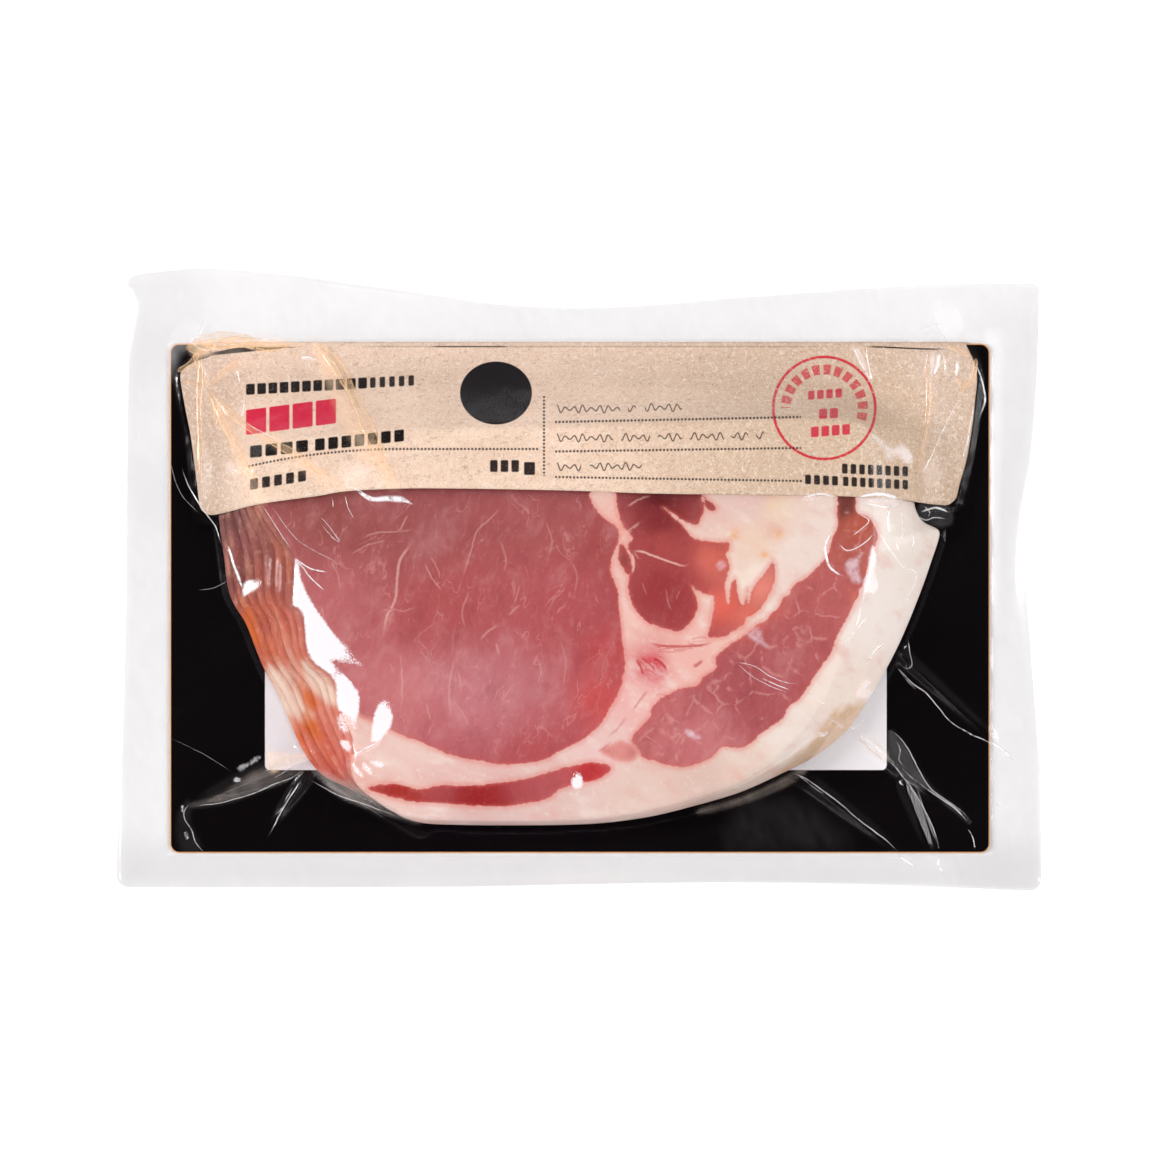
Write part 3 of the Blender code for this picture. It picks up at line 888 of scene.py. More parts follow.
# thin pale lines in the lean: points, half width, strength
PALE_LINES = [
    ([(411, 540), (408, 548), (400, 560), (397, 580), (396, 596), (393, 605), (387, 616), (385, 626), (382, 640)], 0.30, 0.55),
    ([(408, 515), (403, 524), (400, 532)], 0.22, 0.35), ([(430, 556), (438, 570), (440, 580)], 0.2, 0.28),
    ([(470, 590), (462, 612), (466, 630)], 0.2, 0.25), ([(500, 540), (506, 560), (503, 574)], 0.2, 0.22),
    ([(520, 585), (514, 605)], 0.2, 0.25), ([(350, 555), (368, 545), (388, 540)], 0.2, 0.25),
    ([(545, 520), (552, 540), (549, 556)], 0.2, 0.2), ([(455, 655), (449, 690), (452, 720)], 0.25, 0.25),
    ([(400, 650), (403, 690), (399, 716)], 0.2, 0.22), ([(560, 640), (566, 662), (562, 690)], 0.2, 0.18),
    ([(502, 506), (490, 519), (477, 531), (471, 551), (465, 570), (461, 582)], 0.2, 0.3), ([(424, 562), (432, 578), (443, 592)], 0.2, 0.3),
    ([(498, 625), (486, 633), (480, 641)], 0.24, 0.35), ([(496, 643), (499, 655)], 0.24, 0.35), ([(508, 616), (514, 610), (521, 604)], 0.22, 0.3),
    ([(401, 664), (402, 684), (401, 702)], 0.2, 0.3), ([(426, 702), (431, 722)], 0.2, 0.28), ([(459, 672), (461, 686)], 0.2, 0.25),
    ([(361, 539), (375, 533), (390, 532), (404, 531), (416, 529)], 0.2, 0.3), ([(322, 606), (324, 620)], 0.2, 0.3),
    ([(379, 612), (392, 609), (404, 611), (418, 606)], 0.2, 0.22), ([(452, 700), (462, 712), (470, 728)], 0.2, 0.2),
    ([(535, 655), (541, 668), (538, 684)], 0.2, 0.2), ([(570, 560), (577, 575), (574, 596)], 0.2, 0.2), ([(330, 560), (338, 575), (340, 590)], 0.2, 0.22),
    ([(631, 551.2), (640, 551.2), (651.4, 555), (661.6, 558.9), (674.4, 563.3), (684.6, 565.9), (690.3, 562.7)], 0.24, 0.8),
    ([(632, 553), (633.5, 561.4), (633.5, 569), (631, 574)], 0.26, 0.8),
    ([(627, 507), (633, 503), (640, 499), (652, 495)], 0.22, 0.5), ([(666, 588), (668, 602), (672, 612)], 0.18, 0.22),
    ([(642, 582), (647, 596)], 0.16, 0.2), ([(680, 590), (676, 600)], 0.16, 0.2),
    ([(617, 528), (624, 533), (634, 527), (641, 521)], 0.3, 0.5), ([(618, 545), (625, 536), (633, 529)], 0.3, 0.45),
]
RED_LINES = [
    ([(648, 643), (656.5, 645), (669.3, 646.3), (684.6, 646.3), (702.4, 645), (716, 641)], 0.30, 0.75),
    ([(636, 658), (641, 668), (644, 676)], 0.28, 0.8), ([(640, 657), (650, 664), (656, 672)], 0.25, 0.7),
    ([(652, 658), (660, 662), (668, 671)], 0.3, 0.9), ([(648, 690), (640, 700), (632, 712)], 0.3, 0.4),
    ([(693, 667), (698, 664), (703, 660)], 0.4, 0.7), ([(627, 716), (618, 728), (607, 738)], 0.3, 0.3),
    ([(612, 741), (604, 748), (596, 752)], 0.25, 0.3), ([(690, 640), (700, 637), (708, 639)], 0.25, 0.3),
    ([(655, 651), (672, 652), (690, 650)], 0.2, 0.3), ([(671, 700), (662, 694), (654, 696)], 0.2, 0.25),
]


def lines_field(lines, x, y):
    """Signed side distance, distance and strength of the nearest thin line."""
    side = np.full(x.shape, 9.0)
    dist = np.full(x.shape, 9.0)
    power = np.zeros(x.shape)
    width = np.full(x.shape, 0.3)
    for points, half, strength in lines:
        pts = spline(points, False, 4)
        lo, hi = pts.min(axis=0) - 16, pts.max(axis=0) + 16
        near = (x > lo[0]) & (x < hi[0]) & (y > lo[1]) & (y < hi[1])
        if not near.any():
            continue
        d, s, t = line_distance(x[near], y[near], pts)
        d, s = d * PX, s * PX
        s = np.where(s == 0, 1e-4, s)
        fade = strength * smooth(0.0, 0.18, t) * smooth(1.0, 0.75, t)
        better = d < dist[near]
        idx = np.where(near)[0][better]
        dist[idx], side[idx], power[idx], width[idx] = d[better], s[better], fade[better], half
    return side, dist, power, width


LIGHTS = (      # name, place in metres, width and height, watts
    ("light left", (-1.7, 0.15, 1.15), (0.3, 1.1), 35.0),
    ("light right", (1.5, 0.1, 1.3), (0.5, 1.5), 25.5),
    ("light front", (0.1, -1.5, 1.4), (2.4, 1.0), 9.0),
)


def light_on(nx, ny, nz):
    total = 0.86 * (0.5 + 0.5 * nz)
    for _, where, _, power in LIGHTS:
        d = math.hypot(*where)
        total = total + power / math.pi / d**2 * np.maximum(0, (nx * where[0] + ny * where[1] + nz * where[2]) / d)
    return total


RIM_Y, RIM_X = np.gradient(drape(OVER[SLICES - 1], 2), STEP)


def rim_painted_light(x, y, px, py):
    """Painted light: how much paler the fat by the rim is made, to undo the shade the lamps leave on its slope, so it
    looks as even as it does.
    """
    gx, gy = look(RIM_X, x, y), look(RIM_Y, x, y)
    nz = 1 / np.sqrt(1 + gx**2 + gy**2)
    share = (light_on(0.0, 0.0, 1.0) / np.maximum(light_on(-gx * nz, -gy * nz, nz), 0.5)) ** 0.8
    where = np.maximum(smooth(760, 830, px), smooth(790, 815, py) * smooth(380, 430, px))
    return 1 + 0.3 * np.clip(share - 1.1, 0, 0.2) * where


def colour_top_slice(obj, verts):
    px, py = picture(verts[:, 0], verts[:, 1], verts[:, 2])
    # painted light: paler fat where the rim's slope is in shade
    attribute(obj, "painted_rim_light", rim_painted_light(verts[:, 0], verts[:, 1], px, py))
    parts = {
        "eye": region(EYE, px, py), "dark": region(DARK, px, py), "long": region(LONG, px, py),
        "streak": region(STREAK, px, py), "faint": region(FAINT, px, py), "notch": region(NOTCH, px, py),
    }
    parts["dark"] = np.minimum(parts["dark"], -region(FINGERS, px, py))
    lean = np.maximum.reduce(list(parts.values()))
    sliver = region([(619.5, 544.8), (624.6, 546.1), (628.5, 553.8), (631, 561.4), (632.9, 566.5),
                     (632.3, 571.6), (629.7, 574.8), (624.6, 570.4), (619.5, 561.4), (618.3, 553.8)], px, py)
    lean = np.maximum(lean, sliver)
    attribute(obj, "lean", np.clip(lean, -6, 6))
    attribute(obj, "long_muscle", np.clip(parts["long"], -6, 6))
    attribute(obj, "eye_muscle", np.clip(parts["eye"], -6, 6))
    attribute(obj, "soft_edge", smooth(0, 1.0, parts["faint"] + 1.5) + smooth(40, 10, np.hypot(px - 360, py - 730)))
    attribute(obj, "lean_colour", blend(LEAN_COLOURS, px, py))
    fat = blend(FAT_COLOURS, px, py)
    tan = region([(874, 702), (864, 703), (850, 704), (836, 709), (825, 721), (814, 736), (802, 750), (788, 762), (776, 774),
                  (784, 786), (806, 780), (834, 756), (852, 741), (867, 727), (876, 712)], px, py)
    tan = smooth(-1.0, 1.4, tan + 0.7 * noise(verts[:, 0], verts[:, 1], 2.2, 331, 2))[:, None]
    attribute(obj, "tan", tan[:, 0])
    attribute(obj, "fat_colour", fat)
    for name, lines in (("pale", PALE_LINES), ("red", RED_LINES)):
        side, dist, power, width = lines_field(lines, px, py)
        attribute(obj, name + "_side", side)
        attribute(obj, name + "_near", dist)
        attribute(obj, name + "_power", power)
        attribute(obj, name + "_width", width)
    depth = slice_depth(SLICES - 1, verts[:, 0], verts[:, 1])
    attribute(obj, "rim_depth", np.clip(depth, -1, 6))
    # painted sheen: pale patches where the film shines on the meat
    sheen = np.maximum.reduce([
        0.7 * smooth(-0.6, 0.7, region([(845.7, 562), (857, 557), (862, 553), (858.5, 567), (861, 582), (853, 582), (848, 572)], px, py)),
        0.6 * smooth(-0.5, 0.8, region([(747, 634), (756, 627), (760, 629), (764, 640), (768, 648), (759, 644), (752, 640)], px, py)),
        0.8 * smooth(-0.4, 0.5, region([(683.9, 730.2), (692, 731), (701.8, 738.2), (690, 737)], px, py)),
        0.5 * smooth(-0.6, 0.5, region([(717, 564), (722, 561), (726, 566), (720, 570)], px, py)),
    ])
    attribute(obj, "pale_patch", sheen)
    attribute(obj, "calm", 1 - 0.7 * smooth(-0.5, 1.5, np.maximum(parts["streak"], parts["dark"])))
    # painted shadow: the meat darkens just below the flap's lower edge
    flap_edge = np.interp(px, *np.array(FLAP_LOW_PX).T)
    attribute(obj, "painted_flap_shadow", np.exp(-np.clip(py - flap_edge, 0, 90) / 6.0) * smooth(220, 300, px))


EDGE_COLOURS = [
    (232, 520, (124, 76, 74), 20), (250, 540, (146, 82, 80), 22), (275, 520, (158, 88, 76), 18),
    (285, 550, (180, 98, 78), 14), (236, 575, (134, 74, 68), 18), (262, 590, (166, 86, 74), 20),
    (250, 620, (204, 102, 64), 14), (272, 625, (190, 94, 74), 22), (292, 620, (202, 108, 92), 14),
    (270, 660, (206, 104, 72), 14), (292, 655, (208, 114, 92), 16), (284, 690, (234, 192, 174), 12),
    (300, 705, (220, 138, 112), 12), (300, 725, (214, 102, 64), 13), (316, 690, (224, 148, 122), 14),
    (316, 745, (210, 98, 72), 14), (330, 715, (220, 124, 106), 16), (335, 760, (210, 98, 82), 14),
    (350, 785, (226, 136, 122), 14), (400, 812, (246, 210, 200), 30), (520, 822, (252, 222, 210), 60),
    (640, 812, (254, 229, 214), 50), (720, 795, (254, 232, 214), 40), (785, 762, (244, 216, 180), 20),
    (840, 732, (236, 196, 146), 20), (866, 704, (240, 210, 170), 16), (890, 650, (255, 243, 233), 30),
    (925, 570, (250, 240, 230), 40), (940, 510, (232, 222, 204), 20),
    (250, 420, (190, 120, 104), 60), (600, 400, (230, 196, 184), 90), (850, 400, (236, 214, 204), 60),
]


def colour_lower_slice(i, obj, verts):
    px, py = picture(verts[:, 0], verts[:, 1], verts[:, 2])
    shift = 26 * noise(verts[:, 0], verts[:, 1], 22, 200 + i) + 8 * noise(verts[:, 0], verts[:, 1], 6, 230 + i)
    attribute(obj, "edge_colour", blend(EDGE_COLOURS, px + shift * 0.25, py + shift))
    attribute(obj, "rim_depth", np.clip(slice_depth(i, verts[:, 0], verts[:, 1]), -1, 6))
    cream = region([(268, 668), (276, 672), (288, 686), (302, 700), (313, 716), (306, 722), (294, 716), (282, 702), (272, 686)], px, py)
    cream = np.maximum(cream, region([(303, 662), (312, 668), (326, 680), (338, 695), (332, 704), (320, 696), (308, 682)], px, py))
    spots = np.maximum(
        region([(246, 612), (253, 622), (260, 642), (254, 640), (248, 628)], px, py),
        region([(304, 690), (312, 694), (318, 704), (310, 712), (304, 704)], px, py),
    )
    spots = np.maximum(spots, region([(303, 712), (312, 716), (322, 736), (314, 738), (304, 726)], px, py))
    tan = region([(796, 776), (816, 762), (836, 744), (850, 726), (860, 706), (870, 690), (880, 692), (872, 712),
                  (860, 732), (842, 752), (820, 770), (800, 782)], px, py)
    attribute(obj, "tan", np.clip(tan, -4, 4))
    attribute(obj, "cream", np.clip(cream, -4, 4))
    attribute(obj, "ember", np.clip(spots, -4, 4))


for i, (obj, verts) in enumerate(SLICE_OBJ):
    if i == SLICES - 1:
        colour_top_slice(obj, verts)
    else:
        colour_lower_slice(i, obj, verts)

GAIN = 1 / 1.12       # what the studio light makes of a surface's own colour


def scaled(n, colour, gain):
    """A colour socket, made darker or lighter by a factor."""
    return n.mix(1.0, colour, (gain, gain, gain, 1), "MULTIPLY")


def top_slice_material():
    n = Nodes("bacon top slice")
    fine = n.coords()
    warp = n.noise(fine, 0.9, 3, 0.55)
    warp2 = n.noise(fine, 0.22, 2, 0.5)
    lean = n.attr("lean")
    soft = n.attr("soft_edge")
    calm = n.attr("calm")
    ragged = n.math("MULTIPLY_ADD", warp, 0.9, -0.45)
    ragged = n.math("ADD", ragged, n.math("MULTIPLY_ADD", warp2, 0.8, -0.4))
    d = n.math("ADD", lean, ragged)
    half = n.math("MULTIPLY_ADD", soft, 0.9, 0.22)
    is_lean = n.ramp(d, n.math("MULTIPLY", half, -1.0), half)

    # fibres and grain of the lean
    drift = n.noise(n.coords((0.15, 0.085, 0.1), -0.3), 1.0, 4, 0.62, 0.3)
    grain = n.noise(n.coords((0.55, 0.34, 0.5), -0.2), 1.0, 4, 0.62, 0.4)
    speck = n.noise(fine, 1.6, 2, 0.6)
    lean_c = n.attr("lean_colour", "Color")
    paler = n.mix(0.5, lean_c, rgba(232, 176, 176))
    darker = n.mix(0.5, lean_c, rgba(120, 44, 48))
    lean_c = n.mix(n.math("MULTIPLY", n.ramp(drift, 0.48, 0.72, 0, 0.36), calm), lean_c, paler)
    lean_c = n.mix(n.ramp(drift, 0.48, 0.28, 0, 0.42), lean_c, darker)
    lean_c = n.mix(n.math("MULTIPLY", n.ramp(grain, 0.52, 0.74, 0, 0.26), calm), lean_c, paler)
    lean_c = n.mix(n.ramp(grain, 0.46, 0.26, 0, 0.34), lean_c, darker)
    lean_c = n.mix(n.ramp(speck, 0.66, 0.8, 0, 0.22), lean_c, rgba(236, 190, 186))

    # net of thin seams in the long muscle
    cells = n.node("ShaderNodeTexVoronoi", {
        "Vector": n.mix(0.36, n.coords((0.24, 0.24, 0.24), 0.5), n.node(
            "ShaderNodeTexNoise", {"Vector": fine, "Scale": 0.3, "Detail": 2.0}).outputs["Color"]),
        "Scale": 1.0,
    }, feature="DISTANCE_TO_EDGE").outputs["Distance"]
    patchy = n.ramp(n.noise(fine, 0.3, 3, 0.6), 0.42, 0.6, 0.0, 1.0)
    net = n.math("MULTIPLY", n.ramp(cells, 0.075, 0.0), patchy)
    net = n.math("MULTIPLY", net, n.ramp(n.attr("long_muscle"), 0.8, 2.6, 0, 0.44))
    lean_c = n.mix(net, lean_c, rgba(232, 166, 160))
    # a thin pale mark here and there in the eye
    wisps = n.noise(n.coords((0.42, 0.12, 0.4), -0.15), 1.0, 4, 0.55, 1.2)
    wisps = n.math("MULTIPLY", n.ramp(wisps, 0.60, 0.74), n.ramp(n.attr("eye_muscle"), 1.0, 3.0, 0, 0.2))
    lean_c = n.mix(wisps, lean_c, rgba(228, 164, 158))

    # and finer threads that wander through it
    vein = n.noise(n.coords((0.15, 0.075, 0.1), -0.35), 1.0, 3, 0.55, 0.6)
    vein = n.ramp(n.math("ABSOLUTE", n.math("SUBTRACT", vein, 0.52)), 0.016, 0.003)
    vein = n.math("MULTIPLY", vein, n.ramp(n.noise(fine, 0.12, 3, 0.6), 0.46, 0.6))
    lean_c = n.mix(n.math("MULTIPLY", vein, n.ramp(n.attr("eye_muscle"), 1.0, 3.0, 0, 0.34)), lean_c, rgba(226, 158, 152))

    # fat: blotches, soft streaks, pink next to the lean
    fat_c = n.attr("fat_colour", "Color")
    cloud = n.noise(n.coords((0.11, 0.2, 0.15), -0.45), 1.0, 4, 0.55)
    fat_c = n.mix(n.ramp(cloud, 0.5, 0.75, 0, 0.5), fat_c, rgba(248, 234, 224))
    fat_c = n.mix(n.ramp(cloud, 0.5, 0.28, 0, 0.34), fat_c, rgba(226, 158, 146))
    curd = n.noise(fine, 0.75, 3, 0.6)
    fat_c = n.mix(n.ramp(curd, 0.56, 0.74, 0, 0.3), fat_c, rgba(250, 240, 230))
    fat_c = n.mix(n.ramp(d, -1.6, -0.1, 0, 0.42), fat_c, rgba(228, 124, 112))
    fat_c = n.mix(n.math("MULTIPLY", n.attr("tan"), n.ramp(curd, 0.3, 0.7, 0.9, 0.6)), fat_c, rgba(216, 176, 138))
    lean_c = n.mix(n.ramp(d, 0.9, 0.0, 0, 0.3), lean_c, rgba(224, 104, 92))

    colour = n.mix(is_lean, fat_c, lean_c)
    for name, tone in (("pale", rgba(238, 186, 176)), ("red", rgba(196, 60, 62))):
        wobble = n.math("MULTIPLY_ADD", warp, 0.5, -0.25)
        side = n.math("ABSOLUTE", n.math("ADD", n.attr(name + "_side"), wobble))
        width = n.attr(name + "_width")
        line = n.ramp(side, n.math("MULTIPLY", width, 1.8), n.math("MULTIPLY", width, 0.3))
        line = n.math("MULTIPLY", line, n.ramp(n.attr(name + "_near"), 1.9, 1.0))
        line = n.math("MULTIPLY", line, n.attr(name + "_power"))
        colour = n.mix(line, colour, tone)
    # painted sheen: pale patches where the film shines on the meat
    painted_sheen_mix = n.math("MULTIPLY", n.attr("pale_patch"), n.ramp(curd, 0.3, 0.62, 0.35, 1.0))
    colour = n.mix(painted_sheen_mix, colour, rgba(238, 214, 222))
    # painted shadow just below the flap's lower edge
    painted_flap_shadow = n.math("MULTIPLY", n.attr("painted_flap_shadow"), n.ramp(is_lean, 0, 1, 0.35, 0.8))
    colour = n.mix(painted_flap_shadow, colour, n.mix(is_lean, rgba(170, 130, 122), rgba(84, 32, 34)))
    # painted light: the fat by the rim made paler to undo the shade of its slope
    painted_rim_light = n.math("MULTIPLY", n.attr("painted_rim_light"), GAIN)
    colour = n.mix(1.0, colour, n.node("ShaderNodeCombineColor", {0: painted_rim_light, 1: painted_rim_light, 2: painted_rim_light}).outputs[0], "MULTIPLY")
    height = n.math("ADD", n.math("MULTIPLY", grain, 0.4), n.math("MULTIPLY", speck, 0.25))
    bsdf = n.node("ShaderNodeBsdfPrincipled", {
        "Base Color": colour, "Roughness": 0.5, "Specular IOR Level": 0.08, "Normal": n.bump(height, 0.35, 0.0004),
    })
    return n.surface(bsdf.outputs[0])


def lower_slice_material():
    n = Nodes("bacon slice")
    fine = n.coords()
    colour = n.attr("edge_colour", "Color")
    upright = n.noise(n.coords((0.3, 0.12, 0.2), 0.3), 1.0, 4, 0.6, 0.5)
    colour = n.mix(n.ramp(upright, 0.5, 0.68, 0, 0.32), colour, rgba(232, 168, 142))
    colour = n.mix(n.ramp(upright, 0.48, 0.32, 0, 0.24), colour, rgba(150, 66, 48))
    grain = n.noise(fine, 0.8, 3, 0.5)
    colour = n.mix(n.ramp(grain, 0.54, 0.74, 0, 0.22), colour, rgba(240, 200, 180))
    warp = n.math("MULTIPLY_ADD", n.noise(fine, 0.6, 3, 0.6), 1.8, -0.9)
    colour = n.mix(n.ramp(n.math("ADD", n.attr("cream"), warp), -1.5, 1.2, 0, 0.8), colour, rgba(240, 214, 196))
    colour = n.mix(n.ramp(n.math("ADD", n.attr("ember"), warp), -1.5, 1.3, 0, 0.8), colour, rgba(214, 104, 40))
    colour = n.mix(n.ramp(n.math("ADD", n.attr("tan"), warp), -0.8, 1.0, 0, 0.9), colour, rgba(236, 192, 140))
    colour = scaled(n, colour, GAIN)
    bsdf = n.node("ShaderNodeBsdfPrincipled", {
        "Base Color": colour, "Roughness": 0.5, "Specular IOR Level": 0.1,
        "Normal": n.bump(grain, 0.4, 0.0005),
    })
    return n.surface(bsdf.outputs[0])


def dress(obj, material):
    obj.data.materials.clear()
    obj.data.materials.append(material)
    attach(obj, "root")


meat, meat_top = lower_slice_material(), top_slice_material()
for obj, _ in SLICE_OBJ:
    dress(obj, meat_top if obj.name.startswith(f"slice_{SLICES}") else meat)


# ----------------------------------------------------------- board's finish ---
def shader_box(n, x, y, x0, x1, y0, y1, r):
    """Signed distance to a rounded rectangle in shader nodes: negative inside."""
    qx = n.math("SUBTRACT", n.math("ABSOLUTE", n.math("SUBTRACT", x, (x0 + x1) / 2)), abs(x1 - x0) / 2 - r)
    qy = n.math("SUBTRACT", n.math("ABSOLUTE", n.math("SUBTRACT", y, (y0 + y1) / 2)), abs(y1 - y0) / 2 - r)
    ax, ay = n.math("MAXIMUM", qx, 0.0), n.math("MAXIMUM", qy, 0.0)
    outer = n.math("SQRT", n.math("ADD", n.math("MULTIPLY", ax, ax), n.math("MULTIPLY", ay, ay)))
    return n.math("SUBTRACT", n.math("ADD", outer, n.math("MINIMUM", n.math("MAXIMUM", qx, qy), 0.0)), r)


def xyz_mm(n):
    sep = n.node("ShaderNodeSeparateXYZ", {0: n.coords()})
    return sep.outputs


def board_material():
    n = Nodes("board")
    x, y, z = xyz_mm(n)
    p0, p1 = at((265, 345), BOARD_TOP), at((886.6, 770), BOARD_TOP)
    panel = shader_box(n, x, y, float(p0[0]), float(p1[0]), float(p1[1]), float(p0[1]), 1.2)
    fine = n.coords()
    print_edge = n.math("ADD", panel, n.math("MULTIPLY_ADD", n.noise(fine, 2.0, 2), 0.1, -0.05))
    fleck = n.noise(fine, 0.5, 4, 0.65)
    cloud = n.noise(n.coords((0.03, 0.05, 0.05), 0.6), 1.0, 4, 0.6)
    black = n.mix(n.ramp(cloud, 0.5, 0.8, 0, 0.5), rgba(5, 2, 4), rgba(15, 11, 13))
    black = n.mix(n.ramp(fleck, 0.70, 0.8, 0, 0.25), black, rgba(60, 54, 56))
    white = n.mix(n.ramp(cloud, 0.4, 0.7, 0, 0.5), rgba(240, 234, 237, GAIN), rgba(228, 221, 226, GAIN))
    # painted light: the white panel is lighter towards the right, where the stack's shade falls on it
    white = n.mix(n.ramp(x, 50, 68, 0, 1.0), white, rgba(250, 246, 249, GAIN))
    front = n.mix(n.ramp(print_edge, -0.06, 0.06), white, black)
    kraft = n.noise(n.coords((0.6, 3.0, 1.0), 0.1), 1.0, 4, 0.7)
    cut = n.mix(kraft, rgba(206, 140, 92, GAIN), rgba(244, 196, 148, GAIN))
    fibre = n.noise(n.coords((0.35, 1.6, 1.0), 0.2), 1.0, 5, 0.7)
    back = n.mix(fibre, rgba(150, 118, 88, GAIN), rgba(206, 176, 140, GAIN))
    back = n.mix(n.ramp(n.noise(fine, 1.2, 3, 0.7), 0.62, 0.7, 0, 0.5), back, rgba(112, 84, 60, GAIN))
    colour = n.mix(n.ramp(z, BOARD_TOP - 0.035, BOARD_TOP - 0.015), cut, front)
    colour = n.mix(n.ramp(z, FILM + 0.05, FILM + 0.02), colour, back)
    bsdf = n.node("ShaderNodeBsdfPrincipled", {
        "Base Color": colour, "Roughness": 0.5, "Specular IOR Level": 0.025,
        "Normal": n.bump(n.noise(fine, 0.8, 3), 0.15, 0.0002),
    })
    return n.surface(bsdf.outputs[0])


dress(BOARD_OBJ, board_material())


# ------------------------------------------------------------ flap's finish ---
BLOCKS = [      # rows of plain blocks: x0, x1, y0, y1, ink, pitch, gap, slope
    (246, 367, 384, 395, 0, 11.0, 2.4, -0.055), (370, 414, 377.5, 388, 1, 10.0, 4.0, -0.055),
    (246, 336, 410, 435, 2, 22.5, 3.0, -0.13), (250, 308, 446, 458, 0, 14.5, 3.4, -0.11),
    (315, 404, 439, 451, 0, 12.7, 3.4, -0.11), (250, 306, 479, 490, 1, 11.2, 4.0, -0.16),
    (490, 519, 460, 472, 1, 9.8, 3.0, 0.0), (524, 535, 462, 475, 1, 11.0, 3.0, 0.0),
    (842, 908, 463.5, 473.5, 1, 8.3, 3.0, 0.045), (805, 838, 474.5, 484, 1, 8.2, 3.0, 0.05),
    (843, 908, 476.5, 486, 1, 8.2, 3.0, 0.055),
    (808, 842, 391, 400, 4, 8.5, 2.6, -0.08), (819, 838, 409, 419, 4, 9.5, 2.6, -0.06), (811, 850, 427, 437.5, 4, 9.8, 2.6, -0.08),
]
SCRAWLS = [     # pen strokes that only wave: x0, x1, y
    (557, 620, 409), (628, 636, 408), (645, 682, 407.5), (557, 613, 438), (621, 650, 437.5), (658, 682, 437),
    (690, 724, 436.5), (731, 748, 436), (756, 764, 436), (557, 581, 467), (590, 642, 466.5),
]


